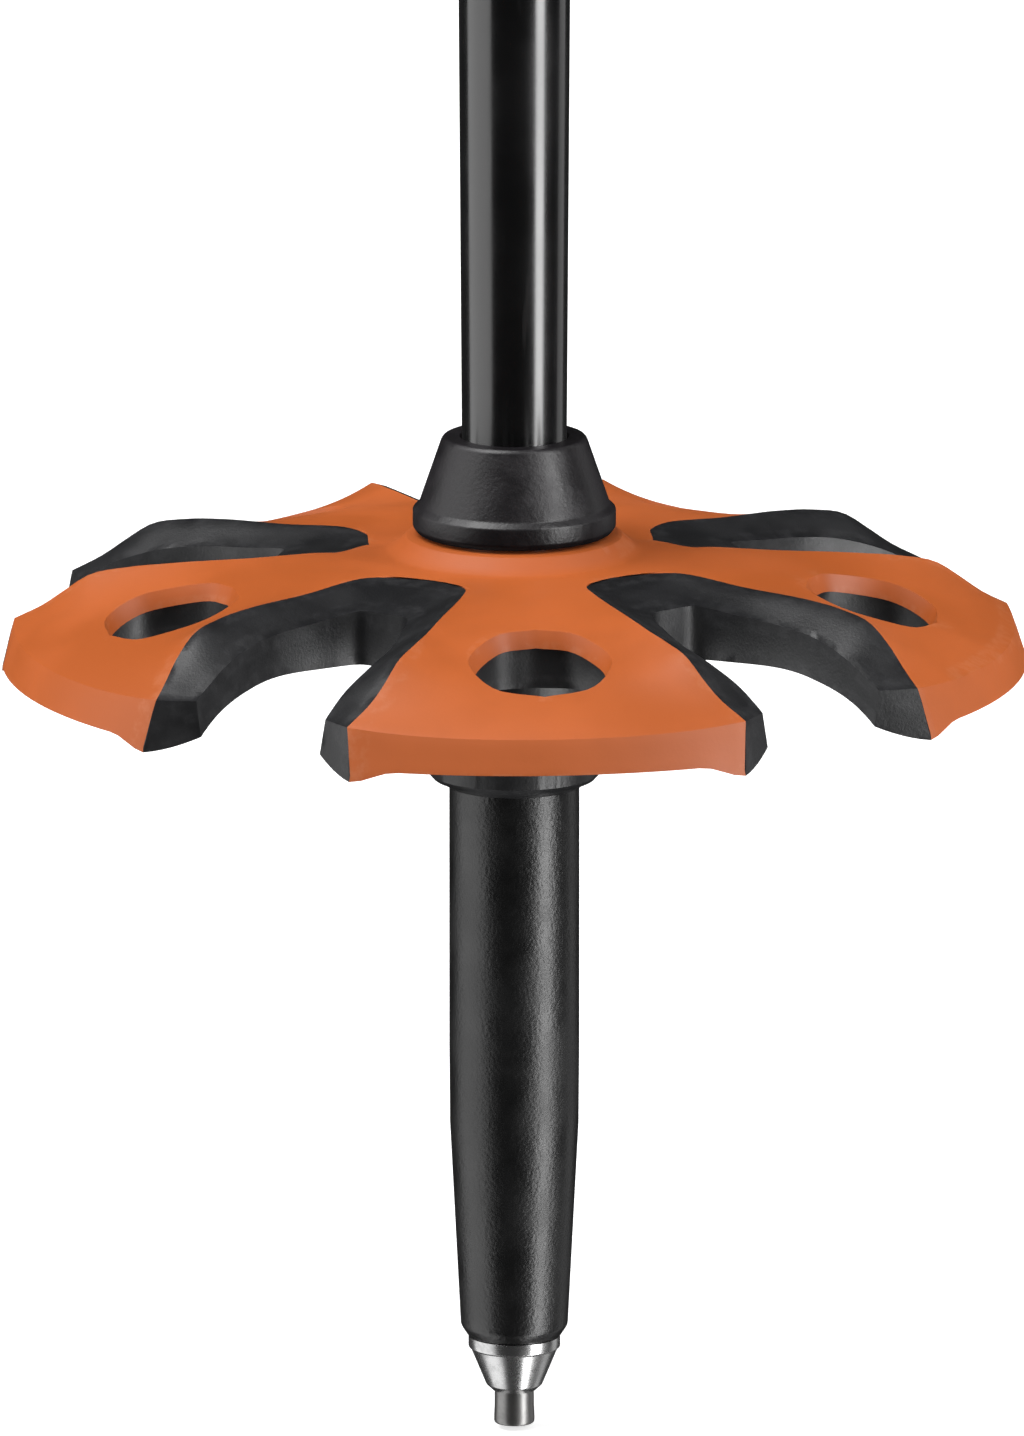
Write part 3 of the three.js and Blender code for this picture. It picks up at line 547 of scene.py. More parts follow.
# %% [markdown]
# ## Basket: outlines
# The basket has five petals. Seen from above, the edge of a petal is the edge of the gap beside it, so
# the gap is drawn, as half-widths over the distance from the axis. Between the axis and the rim, one half
# of a petal is a strip with two long sides: the middle line of the petal, which goes round its hole, and
# the edge of the gap. A grid laid over that strip follows every edge with even, four-sided faces, which
# cutting the shape out of a dome would not give.

# %% Outlines of gaps and hole
PETALS = 5
HALF_PITCH = math.pi / PETALS
PETAL_TURN = math.radians(-86.06)
RIM = 50.3
CREASE = 49.1
TOP_EDGE = [(14.7, 0), (15.1, 2.5), (16.8, 4.9), (20, 6.5), (26, 8.2), (34, 10.7), (42, 11.8), (47.86, 10.95)]
CORE_EDGE = [(23.9, 0), (24.0, 2.5), (25.4, 3.6), (28, 4.6), (33, 6.4), (38, 7.15), (43, 7.25), (46.2, 7.4)]
HOLE = [(29.6, 0), (30.8, 4.0), (36.1, 6.95), (41.0, 4.9), (42.6, 0)]
HOLE_MIDDLE = 36.1
RIM_CORNER_TURN = math.radians(22.43)


def through(points, count):
    """Points spaced evenly along a smooth curve through the given ones."""
    p = np.array(points, float)
    p = np.vstack([2 * p[0] - p[1], p, 2 * p[-1] - p[-2]])
    dense = []
    for a, b, c, d in zip(p, p[1:], p[2:], p[3:]):
        for t in np.linspace(0, 1, 40, endpoint=False):
            square, cube = 2 * a - 5 * b + 4 * c - d, 3 * b - a - 3 * c + d
            dense.append(0.5 * (2 * b + (c - a) * t + square * t**2 + cube * t**3))
    dense = np.array([*dense, p[-2]])
    length = np.concatenate([[0], np.cumsum(np.linalg.norm(np.diff(dense, axis=0), axis=1))])
    at = np.linspace(0, length[-1], count)
    return np.column_stack([np.interp(at, length, dense[:, k]) for k in (0, 1)])


def polar(points, gap_side):
    """Radius and angle from the petal's middle, for points drawn along the petal or along the gap."""
    radius, angle = np.hypot(*points.T), np.arctan2(points[:, 1], points[:, 0])
    return np.column_stack([radius, HALF_PITCH - angle if gap_side else angle])


# %% [markdown]
# ## Basket: the strip's rows
# The rows run from the bore to the rim. Near the bore they lie on the steps of the hub, then the outer
# side leaves the gap's middle line where the gap begins, and the inner side goes round the hole.

# %% Rows of half a petal
HUB_ROWS = [6.7, 7.3, 8.0, 8.45, 8.62, 10.1, 10.6, 11.5, 12.2, 12.7]
TIP_ROW, HOLE_START, HOLE_END, CREASE_ROW, LAST_ROW = 13, 21, 45, 52, 57
RIM_FACE = [(0, 0), (0.28, 0.25), (0.52, 0.5), (0.76, 0.75), (0.95, 0.93), (1, 1)]


def along_middle(radii):
    return np.column_stack([radii, np.zeros(len(radii))])


def inner_side():
    """Petal's middle line, which goes round the hole and then straight over the rim."""
    before = np.linspace(HUB_ROWS[-1], HOLE[0][0], HOLE_START - len(HUB_ROWS) + 2)[1:-1]
    beyond = np.linspace(HOLE[-1][0], CREASE, CREASE_ROW - HOLE_END + 1)[1:]
    hole = polar(through(HOLE, HOLE_END - HOLE_START + 1), False)
    rim = [CREASE + (RIM - CREASE) * out for out, _ in RIM_FACE[1:]]
    parts = [along_middle(HUB_ROWS), along_middle(before), hole, along_middle(beyond), along_middle(rim)]
    return np.vstack(parts)


def gap_side(edge):
    """Middle line of the gap as far as the gap's start, and then the gap's edge up to the crease."""
    before = np.linspace(HUB_ROWS[-1], edge[0][0], TIP_ROW - len(HUB_ROWS) + 2)[1:-1]
    radii = [*HUB_ROWS, *before]
    on_middle = np.column_stack([radii, np.full(len(radii), HALF_PITCH)])
    return np.vstack([on_middle, polar(through(edge, CREASE_ROW - TIP_ROW + 1), True)])


def down_the_rim(crease_point):
    corner = np.array([RIM, RIM_CORNER_TURN])
    return np.array([crease_point + (corner - crease_point) * out for out, _ in RIM_FACE[1:]])


top_side = gap_side(TOP_EDGE)
top_side = np.vstack([top_side, down_the_rim(top_side[-1])])
ridge_side = gap_side(CORE_EDGE)
print("rows:", len(inner_side()), len(top_side), len(ridge_side))


# %% [markdown]
# ## Basket: heights
# From the hub the top runs almost level, then rolls down to the rim. Along a petal's middle it falls
# sooner than along its edges, so each petal is slightly dished round its hole. The orange layer is 1.7 mm
# thick, and at the gaps the grey core comes up flush with it.

# %% Height of the surfaces
HUB_HEIGHTS = [(6.7, 90.1), (10.1, 90.1), (10.6, 89.95), (11.5, 89.1), (12.2, 88.55), (12.7, 88.4)]
MIDDLE_HEIGHTS = [*HUB_HEIGHTS, (20, 88.4), (25, 88.0), (30, 87.0), (36, 85.35), (40, 84.3), (43.5, 83.1),
                  (46.5, 81.95), (49.1, 80.7)]
EDGE_HEIGHTS = [*HUB_HEIGHTS, (20, 88.35), (26, 87.9), (34, 87.5), (38, 87.1), (42, 86.1), (44, 84.7),
                (46.5, 82.8), (49.1, 81.3)]
RIDGE_HEIGHTS = [(23.9, 86.6), (28, 86.1), (33, 85.6), (38, 84.9), (43, 83.3), (46.9, 81.3)]
CORE_FLOOR = [(6.7, 64.9), (7.3, 65.3), (8.0, 65.6), (8.45, 66.1), (8.62, 79.2), (10.6, 80.9), (24, 81.2),
              (38, 80.9), (44, 79.5), (46.9, 78.0), (50.3, 77.4)]
LAYER = 1.7
SKIRT = 1.4
RIM_FACE_BOTTOM = 77.4
CORNER_DROP = 1.2


def level(heights, radius):
    """Height at a radius, on a smooth curve through the given heights."""
    r, z = np.array(heights).T
    slopes = np.gradient(z, r)
    i = int(np.clip(np.searchsorted(r, radius) - 1, 0, len(r) - 2))
    h = r[i + 1] - r[i]
    t = (np.clip(radius, r[0], r[-1]) - r[i]) / h
    rise = (z[i + 1] - z[i]) / h
    a, b = (s if s * rise > 0 else 0.0 for s in (slopes[i], slopes[i + 1]))
    return (z[i] * (1 + 2 * t) * (1 - t) ** 2 + z[i + 1] * t**2 * (3 - 2 * t)
            + h * (a * t * (1 - t) ** 2 - b * t**2 * (1 - t)))


def smooth_share(value, low, high):
    t = min(1.0, max(0.0, (value - low) / (high - low)))
    return t * t * (3 - 2 * t)


def top_height(radius, across):
    """Across is 0 on the petal's middle line and 1 at the gap."""
    middle, edge = level(MIDDLE_HEIGHTS, radius), level(EDGE_HEIGHTS, radius)
    return middle + (edge - middle) * across**3


def rim_bottom(across):
    return RIM_FACE_BOTTOM - CORNER_DROP * smooth_share(across, 0.76, 1)


def from_petal(vert):
    """Radius of a point, its angle from the middle of its petal, and that middle's own direction."""
    radius, angle = math.hypot(vert.co.x, vert.co.y), math.atan2(vert.co.y, vert.co.x)
    petal = PETAL_TURN + round((angle - PETAL_TURN) / (2 * HALF_PITCH)) * 2 * HALF_PITCH
    return radius, angle - petal, petal


# %% Grid over half a petal, mirrored and copied round
def put(vert, radius, angle, z):
    vert.co = (radius * math.cos(angle), radius * math.sin(angle), z)


def between(first, second, row, share):
    return first[row] + (second[row] - first[row]) * share


def lay_grid(bm, rows, columns, place):
    """A grid whose corner at a row and a share of the width goes where place puts it."""
    made = bmesh.ops.create_grid(bm, x_segments=rows, y_segments=columns, size=0.5)["verts"]
    for vert in made:
        place(vert, round((vert.co.x + 0.5) * rows), vert.co.y + 0.5)


def round_the_axis(bm):
    """Mirror half a petal, copy it to every petal and join the copies."""
    bmesh.ops.mirror(bm, geom=bm.verts[:] + bm.edges[:] + bm.faces[:], axis="Y", merge_dist=1e-4)
    bmesh.ops.remove_doubles(bm, verts=bm.verts, dist=1e-3)
    bmesh.ops.rotate(bm, cent=(0, 0, 0), matrix=Matrix.Rotation(PETAL_TURN, 3, "Z"), verts=bm.verts)
    petal = bm.verts[:] + bm.edges[:] + bm.faces[:]
    bmesh.ops.spin(bm, geom=petal, cent=(0, 0, 0), axis=(0, 0, 1), angle=TURN, steps=PETALS,
                   use_duplicate=True)
    bmesh.ops.remove_doubles(bm, verts=bm.verts, dist=1e-3)


def thicken(bm, lower, wall_cuts):
    """Give a sheet an underside that lower(vert) puts in place, and walls with a few loops in them."""
    upper = set(bm.verts)
    made = bmesh.ops.extrude_face_region(bm, geom=bm.faces[:])["geom"]
    for vert in (v for v in made if isinstance(v, bmesh.types.BMVert)):
        lower(vert)
    walls = [e for e in bm.edges if (e.verts[0] in upper) != (e.verts[1] in upper)]
    bmesh.ops.subdivide_edges(bm, edges=walls, cuts=wall_cuts, use_grid_fill=True)
    bmesh.ops.remove_doubles(bm, verts=bm.verts, dist=1e-3)
    bmesh.ops.dissolve_degenerate(bm, edges=bm.edges, dist=1e-3)
    bmesh.ops.recalc_face_normals(bm, faces=bm.faces)


# %% [markdown]
# ## Basket: orange layer
# The soft layer covers the top and turns down over the rim. It is laid as a sheet and thickened downwards.
# The wall of each hole leans inwards, as a moulder draws it, and every edge is rounded a little: real
# overmoulding has such a small, even radius. Like the collar, the layer is kept out of reflections.

# %% Orange layer
COLUMNS = 16
LIP_LEAN = 0.6
inner = inner_side()


def place_top(vert, row, share):
    radius, angle = between(inner, top_side, row, share)
    across = angle / top_side[row][1]
    z = top_height(radius, across)
    if row > CREASE_ROW:
        crease = top_height(CREASE, across)
        z = crease + (rim_bottom(across) - crease) * RIM_FACE[row - CREASE_ROW][1]
    vert[lip] = 1.0 if HOLE_START <= row <= HOLE_END and share < 0.01 else 0.0
    put(vert, radius, angle, z)


def under_layer(vert):
    radius, angle, petal = from_petal(vert)
    turned = smooth_share(radius, CREASE - 1, CREASE + 0.6)
    z = vert.co.z - LAYER * (1 - turned)
    put(vert, radius - SKIRT * turned, angle + petal, z)
    if vert[lip] > 0.5:
        middle = Vector((HOLE_MIDDLE * math.cos(petal), HOLE_MIDDLE * math.sin(petal), z))
        vert.co += (middle - vert.co).normalized() * LIP_LEAN


bm = bmesh.new()
lip = bm.verts.layers.float.new("lip")
lay_grid(bm, LAST_ROW, COLUMNS, place_top)
print("half a petal:", len(bm.verts))
round_the_axis(bm)
thicken(bm, under_layer, 1)
soften(bm, 0.24, 26, 3)
layer = make_piece(bm, "basket_orange_layer", "basket", orange, "orange_rubber", "basket_top")
layer.visible_glossy = False


# %% [markdown]
# ## Basket: core
# The hard core carries the hub, fills the basket under the orange layer and comes out beside it, as a
# sloping flank that ends in a ridge and a steep wall, and as an end face at the rim. Flank and end
# face are a second strip, between the orange edge and the ridge, so that both lines stay exact.

# %% Core
FLANK_COLUMNS = 6
FLANK_CROWN = 0.08
WALL_DRAFT = 0.6


def core_floor(radius, across):
    dip = CORNER_DROP * smooth_share(across, 0.85, 1) * smooth_share(radius, 45.5, RIM)
    return level(CORE_FLOOR, radius) - dip


def place_under(vert, row, share):
    radius, angle = between(inner, top_side, row, share)
    across = angle / top_side[row][1]
    shown = smooth_share(share, 0.86, 1) * (row >= TIP_ROW)
    z = top_height(min(radius, CREASE), across) - (LAYER + 0.05) * (1 - shown)
    if row > CREASE_ROW:
        z += (core_floor(radius, across) + 0.3 - z) * RIM_FACE[row - CREASE_ROW][1]
    radius -= (SKIRT + 0.1) * smooth_share(radius, CREASE - 2, CREASE) * (1 - share**14)
    put(vert, radius, angle, z)


def place_flank(vert, row, share):
    row += TIP_ROW
    last = min(row, CREASE_ROW)
    radius, angle = top_side[row] + (ridge_side[last] - top_side[row]) * share
    high = top_height(min(top_side[row][0], CREASE), 1)
    low = min(level(RIDGE_HEIGHTS, ridge_side[last][0]), high)
    crown = FLANK_CROWN * math.sin(math.pi * min(1, 1.6 * share)) * (row < CREASE_ROW)
    z = high + (low - high) * share**1.2 + crown
    down = RIM_FACE[row - CREASE_ROW][1] if row > CREASE_ROW else 0
    z += (core_floor(radius, 1) - z) * down
    drafted = share if row > CREASE_ROW else float(share > 0.99)
    vert[flare] = WALL_DRAFT * (1 - down) * drafted
    put(vert, radius, angle + WALL_DRAFT * down * share / radius, z)


def under_core(vert):
    radius, angle, petal = from_petal(vert)
    across = abs(angle) / RIM_CORNER_TURN if radius > 40 else 0
    floor = min(core_floor(radius, across), vert.co.z - 0.001)
    lean = vert[flare] * smooth_share(radius, 30, 44) * math.copysign(1, angle)
    put(vert, radius, angle + petal + lean / radius, floor)


bm = bmesh.new()
flare = bm.verts.layers.float.new("flare")
lay_grid(bm, LAST_ROW, COLUMNS, place_under)
lay_grid(bm, LAST_ROW - TIP_ROW, FLANK_COLUMNS, place_flank)
bmesh.ops.remove_doubles(bm, verts=bm.verts, dist=1e-3)
round_the_axis(bm)
thicken(bm, under_core, 4)
soften(bm, 0.3, 32, 3)
make_piece(bm, "basket_core_moulded", "basket", core_grey, "basket_plastic", "basket_core")


# %% [markdown]
# ## Length clamp
# Both shafts meet in a split clamp. A thin bush keeps them apart; the clamp is a ring with two ears, and
# a cam lever pulls the ears together through a bolt. A knurled nut on the other end of the bolt sets how
# hard it pulls. The ring is a profile swept most of the way round, and each ear is a block with its
# upright edges rounded.

# %% Helpers for blocks and for pieces that lie along other lines
def add_block(bm, low, high, corner=0.0, vertical=0.0):
    """A block between two corners; its upright edges may be rounded more than the others."""
    low, high = Vector(low), Vector(high)
    cube = bmesh.ops.create_cube(bm, size=1)["verts"]
    for vert in cube:
        vert.co = (low + high) / 2 + Vector([c * s for c, s in zip(vert.co, high - low)])
    edges = {e for v in cube for e in v.link_edges}
    if vertical:
        upright = [e for e in edges if abs(e.verts[0].co.z - e.verts[1].co.z) > 1e-3]
        made = bmesh.ops.bevel(bm, geom=upright, offset=vertical, segments=6, profile=0.5, affect="EDGES",
                               material=-1)
        faces = {f for v in made["verts"] for f in v.link_faces}
        edges = {e for f in faces for e in f.edges if abs(e.verts[0].co.z - e.verts[1].co.z) < 1e-4}
    if corner:
        bmesh.ops.bevel(bm, geom=list(edges), offset=corner, segments=3, profile=0.5, affect="EDGES",
                        material=-1)


def lay_along(bm, axis, origin=(0, 0, 0)):
    """Turn a piece that was spun round Z so that it lies along X or Y, and move it."""
    turn = {"X": Matrix.Rotation(math.pi / 2, 3, "Y"), "Y": Matrix.Rotation(-math.pi / 2, 3, "X")}[axis]
    bmesh.ops.rotate(bm, cent=(0, 0, 0), matrix=turn, verts=bm.verts)
    bmesh.ops.translate(bm, vec=Vector(origin), verts=bm.verts)


def corners(node):
    """Lowest and highest corner of a node, in millimetres."""
    return [[c / MM for c in corner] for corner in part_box(node)]


# %% Bush and clamp ring
liner_low, liner_high = corners("clamp_liner")
ring_low, ring_high = corners("clamp_body")
ring_radius, ring_bottom, ring_top = ring_high[1], ring_low[2], ring_high[2]
liner = spun([(7.1, liner_low[2]), (ring_radius - 0.5, liner_low[2]), (ring_radius, liner_low[2] + 0.5),
              (ring_radius, ring_bottom - 0.3), (9.3, ring_bottom - 0.3), (9.3, liner_high[2]),
              (8.3, liner_high[2]), (8.3, ring_bottom + 4.7), (7.1, ring_bottom + 4.7)])
soften(liner, 0.25)
make_piece(liner, "clamp_bush", "upper_section", trim_black, "black_plastic", "clamp_liner")

SLIT = 2.5
RING_INSIDE = 9.6
slit_turn = math.asin(SLIT / 2 / ring_radius)
bm = bmesh.new()
grooves = [(ring_radius - 0.5, z) for z in (ring_bottom + 4.6, ring_bottom + 5.6)]
wall = [(RING_INSIDE, ring_bottom), (ring_radius, ring_bottom), (ring_radius, ring_bottom + 4), *grooves,
        (ring_radius, ring_bottom + 6.2), (ring_radius, ring_top - 6.2), (ring_radius - 0.5, ring_top - 5.6),
        (ring_radius - 0.5, ring_top - 4.6), (ring_radius, ring_top - 4), (ring_radius, ring_top - 1),
        (ring_radius - 1, ring_top), (RING_INSIDE, ring_top)]
verts = [bm.verts.new((radius, 0, z)) for radius, z in wall]
face = bm.faces.new(verts)
start = Matrix.Rotation(-math.pi / 2 + slit_turn, 3, "Z")
bmesh.ops.rotate(bm, cent=(0, 0, 0), matrix=start, verts=bm.verts)
bmesh.ops.spin(bm, geom=[face], cent=(0, 0, 0), axis=(0, 0, 1), angle=TURN - 2 * slit_turn, steps=120)
bmesh.ops.recalc_face_normals(bm, faces=bm.faces)
soften(bm, 0.3, 40)
ear_low, ear_high = ring_bottom + 5, ring_top - 5
for side in (-1, 1):
    near, far = sorted((side * SLIT / 2, side * 6.5))
    add_block(bm, (near, ring_low[1], ear_low), (far, -9.4, ear_high), 0.35, 1.6)
make_piece(bm, "clamp_ring", "upper_section", trim_black, "black_plastic", "clamp_body")

# %% Bolt, barrel, washer and nut
bolt_low, bolt_high = corners("clamp_bolt")
BOLT_Y, CLAMP_Z = (bolt_low[1] + bolt_high[1]) / 2, (bolt_low[2] + bolt_high[2]) / 2
thread = []
for turn in range(9):
    x = bolt_low[0] + 0.5 + turn * 0.7
    thread += [(2.2, x), (1.85, x + 0.35)]
bolt = spun([(0, bolt_low[0]), (1.5, bolt_low[0]), *thread, (2.2, bolt_low[0] + 6.9), (2.2, bolt_high[0]),
             (0, bolt_high[0])], 48)
lay_along(bolt, "X", (0, BOLT_Y, CLAMP_Z))
make_piece(bolt, "clamp_bolt_threaded", "upper_section", ferrule_steel, "steel", "clamp_bolt")

barrel_low, barrel_high = corners("lever_barrel")
BARREL_X = (barrel_low[0] + barrel_high[0]) / 2
barrel = spun([(0, barrel_low[2]), (1.1, barrel_low[2]), (1.1, barrel_low[2] + 0.5), (2.6, barrel_low[2]),
               (3.2, barrel_low[2] + 0.6), (3.2, barrel_high[2] - 0.6), (2.6, barrel_high[2]),
               (0, barrel_high[2])], 48)
bmesh.ops.translate(barrel, vec=(BARREL_X, BOLT_Y, 0), verts=barrel.verts)
make_piece(barrel, "lever_barrel_turned", "upper_section", ferrule_steel, "steel", "lever_barrel")

washer_low, washer_high = corners("adjuster_washer")
washer = spun([(2.5, washer_low[0]), (4.4, washer_low[0]), (4.4, washer_high[0]), (2.5, washer_high[0])], 64)
soften(washer, 0.15)
lay_along(washer, "X", (0, BOLT_Y, CLAMP_Z))
make_piece(washer, "adjuster_washer_turned", "upper_section", ferrule_steel, "steel", "adjuster_washer")

nut_low, nut_high = corners("adjuster_nut")
NUT_RADIUS, GRIP_GROOVES = 5.2, 12
nut = spun([(2.3, nut_low[0]), (3.2, nut_low[0]), (3.4, nut_low[0] + 0.4), (NUT_RADIUS - 0.7, nut_low[0]),
            (NUT_RADIUS, nut_low[0] + 0.7), (NUT_RADIUS, nut_high[0] - 0.5), (NUT_RADIUS - 0.5, nut_high[0]),
            (2.3, nut_high[0])], 144)
for vert in nut.verts:
    radius, angle = math.hypot(vert.co.x, vert.co.y), math.atan2(vert.co.y, vert.co.x)
    if radius > NUT_RADIUS - 0.75:
        dip = 0.75 * max(0.0, math.cos(angle * GRIP_GROOVES)) ** 3
        vert.co.x, vert.co.y = vert.co.x * (1 - dip / radius), vert.co.y * (1 - dip / radius)
lay_along(nut, "X", (0, BOLT_Y, CLAMP_Z))
make_piece(nut, "adjuster_nut_scalloped", "adjuster", ferrule_steel, "steel", "adjuster_nut")


# %% [markdown]
# ## Clamp lever
# The lever is a bow that lies round the clamp. Its section is swept through an arc, its free end is
# rounded off and ribbed for the thumb, and two knuckles hold it on the barrel.

# %% Lever
lever_low, lever_high = corners("clamp_lever")
LEVER_INSIDE, LEVER_OUTSIDE = 12.6, 15.4
LEVER_FROM, LEVER_TO = math.radians(-36), math.radians(78)
LEVER_STEPS = 64
half_height = (lever_high[2] - lever_low[2]) / 2
section = [(LEVER_INSIDE, -1), (LEVER_OUTSIDE - 0.7, -1), (LEVER_OUTSIDE, -0.95), (LEVER_OUTSIDE, -0.74),
           (LEVER_OUTSIDE - 0.5, -0.7), (LEVER_OUTSIDE - 0.5, 0.7), (LEVER_OUTSIDE, 0.74),
           (LEVER_OUTSIDE, 0.95), (LEVER_OUTSIDE - 0.7, 1), (LEVER_INSIDE, 1)]
bm = bmesh.new()
face = bm.faces.new([bm.verts.new((radius, 0, z)) for radius, z in section])
bmesh.ops.spin(bm, geom=[face], cent=(0, 0, 0), axis=(0, 0, 1), angle=LEVER_TO - LEVER_FROM,
               steps=LEVER_STEPS)
for vert in bm.verts:
    radius, angle = math.hypot(vert.co.x, vert.co.y), math.atan2(vert.co.y, vert.co.x)
    left = (LEVER_TO - LEVER_FROM - angle) * LEVER_OUTSIDE
    narrow = math.sqrt(max(0.0, 1 - (1 - min(left, 9) / 9) ** 2))
    height = CLAMP_Z + vert.co.z * half_height * (0.35 + 0.65 * narrow)
    on_thumb_pad = abs(vert.co.z) <= 0.71 and radius > 14 and left < 14
    ribbed = 0.35 * max(0.0, math.sin(left * 2.2)) * on_thumb_pad
    put(vert, radius + ribbed, angle + LEVER_FROM, height)
bmesh.ops.recalc_face_normals(bm, faces=bm.faces)
soften(bm, 0.25, 50, 2)
for low, high in ((ring_bottom + 6.4, ring_bottom + 12.4), (ring_top - 12.4, ring_top - 6.4)):
    knuckle = spun([(3.3, low), (4.9, low), (5.4, low + 0.5), (5.4, high - 0.5), (4.9, high),
                    (3.3, high)], 64)
    bmesh.ops.translate(knuckle, vec=(BARREL_X, BOLT_Y, 0), verts=knuckle.verts)
    mesh = bpy.data.meshes.new("knuckle")
    knuckle.to_mesh(mesh)
    knuckle.free()
    bm.from_mesh(mesh)
    bpy.data.meshes.remove(mesh)
    add_block(bm, (LEVER_INSIDE, -12.6, low), (LEVER_OUTSIDE - 0.8, -6.5, high), 0.4)
make_piece(bm, "clamp_lever_bow", "lever", trim_black, "lever_metal", "clamp_lever")


# %% [markdown]
# ## Grip
# A grip is a soft skin over a hard core. Its section is a rounded square whose reach to the front, back
# and sides changes with the height, with a swelling between the fingers. A spun tube is pushed out to those
# curves, ring by ring, which keeps the faces even and needs no sculpting.

# %% Grip shape
grip_low, grip_high = corners("grip_body")
GRIP_LENGTH = grip_high[2] - grip_low[2]
SQUARENESS = 2.8
GRIP_OUTLINE = [(0, 18.5, 18.5, 15.5), (7, 17, 16.4, 14), (15, 18.6, 16, 13.6), (24, 16.4, 16.2, 13.6),
                (35, 19.2, 16.8, 14), (46, 16.8, 17.2, 14), (57, 19.2, 17.4, 14), (68, 16.6, 17.2, 13.8),
                (80, 19.6, 18.6, 14.8), (91, 19, 22, 17), (102, 20.4, 24.4, 18), (116, 21.6, 24.8, 18.2),
                (128, 20.8, 24.2, 17.8)]


def push_out(bm, outline, bottom, around=None):
    """Push a spun tube of radius 1 out to an outline's rows of height and reach to front, back and side."""
    curves = [through([(row[0], row[column]) for row in outline], 400) for column in (1, 2, 3)]
    for vert in bm.verts:
        radius = math.hypot(vert.co.x, vert.co.y)
        front, back, side = (np.interp(vert.co.z, curve[:, 0], curve[:, 1]) for curve in curves)
        x, y = (math.copysign(abs(c / radius) ** (2 / SQUARENESS), c) if radius else 0 for c in vert.co.xy)
        texture = around(x, vert.co.z) if around and radius > 0.99 else 0
        reach = radius + texture
        vert.co = (x * (front if x > 0 else back) * reach, y * side * reach, vert.co.z + bottom)


def grip_texture(x, z):
    """Shallow ribs across the front and the back, along the stretch that the fingers hold."""
    ribs = -0.018 * max(0.0, math.sin(z * 1.9)) ** 2
    ribs *= smooth_share(abs(x), 0.55, 0.9)
    ribs *= smooth_share(z, 10, 16)
    return ribs * (1 - smooth_share(z, 76, 82))


def cut_across(bm, axis, *places):
    """Cut edges right round a mesh where it crosses planes, so that a hole can follow them."""
    for place in places:
        everything = bm.verts[:] + bm.edges[:] + bm.faces[:]
        bmesh.ops.bisect_plane(bm, geom=everything, dist=1e-4, plane_co=axis * place, plane_no=axis)


def open_recess(bm, inside, depth):
    """Push the faces whose middles lie inside a region inwards, as a hole with walls."""
    faces = [f for f in bm.faces if inside(f.calc_center_median())]
    made = bmesh.ops.extrude_face_region(bm, geom=faces)["geom"]
    bmesh.ops.translate(bm, vec=depth, verts=[v for v in made if isinstance(v, bmesh.types.BMVert)])


SLOT_HALF_WIDTH, SLOT_DEPTH = 10.3, 11
rings = [(1, z) for z in np.linspace(0, GRIP_LENGTH, 200)[3:-1]]
bm = spun([(0.45, 0), (0.93, 0), (1, 1.2), *rings, (1, GRIP_LENGTH), (0.6, GRIP_LENGTH)], 160)
push_out(bm, GRIP_OUTLINE, grip_low[2], grip_texture)
slot_low, slot_high = cad_high[2] / MM - 34, cad_high[2] / MM - 12.5
cut_across(bm, Vector((0, 0, 1)), slot_low, slot_high)
cut_across(bm, Vector((0, 1, 0)), -SLOT_HALF_WIDTH, SLOT_HALF_WIDTH)


def in_strap_slot(middle):
    return middle.x < -12 and abs(middle.y) < SLOT_HALF_WIDTH and slot_low < middle.z < slot_high


open_recess(bm, in_strap_slot, (SLOT_DEPTH, 0, 0))
soften(bm, 0.5, 60, 3)
make_piece(bm, "grip_skin", "upper_section", grip_black, "grip_rubber", "grip_body", "grip_core",
           smooth_to=50)

# %% Cap
cap_low, cap_high = corners("grip_cap")
CAP_HEIGHT = cap_high[2] - cap_low[2]
last = GRIP_OUTLINE[-1][1:]
profile = [(0, 1), (0.2, 0.998), (0.38, 0.985), (0.55, 0.955), (0.7, 0.9), (0.84, 0.82), (0.94, 0.74),
           (1.0, 0.66)]
dome = [(share * CAP_HEIGHT, *[reach * part for reach in last]) for share, part in profile]
rings = [(1, z) for z in np.linspace(0, CAP_HEIGHT, 24)]
lid = [(part, CAP_HEIGHT) for part in (0.9, 0.75, 0.6, 0.45, 0.3, 0.15, 0)]
bm = spun([(0, 0), *rings, *lid], 160)
push_out(bm, dome, cap_low[2])
wedge_low, wedge_high = corners("strap_wedge")
WEDGE_ROOM = 0.3
slot_x = (wedge_low[0] - WEDGE_ROOM, wedge_high[0] + WEDGE_ROOM)
slot_y = wedge_high[1] + WEDGE_ROOM
cut_across(bm, Vector((1, 0, 0)), *slot_x)
cut_across(bm, Vector((0, 1, 0)), -slot_y, slot_y)
in_slot = [f for f in bm.faces if abs(f.normal.z) > 0.5 and abs(f.calc_center_median().y) < slot_y
           and slot_x[0] < f.calc_center_median().x < slot_x[1]]
bmesh.ops.delete(bm, geom=in_slot, context="FACES")
bmesh.ops.bridge_loops(bm, edges=[e for e in bm.edges if e.is_boundary])
soften(bm, 0.3, 50, 3)
make_piece(bm, "grip_cap_domed", "upper_section", orange, "orange_rubber", "grip_cap", smooth_to=50)

# %% [markdown]
# ## Strap lock, foam and ring
# A wedge in the top of the grip pinches the strap: pull the strap upwards and the wedge lets go. Below
# the grip a foam sleeve gives a second place to hold, with shallow rings cut in it, and a trim ring ends
# it.

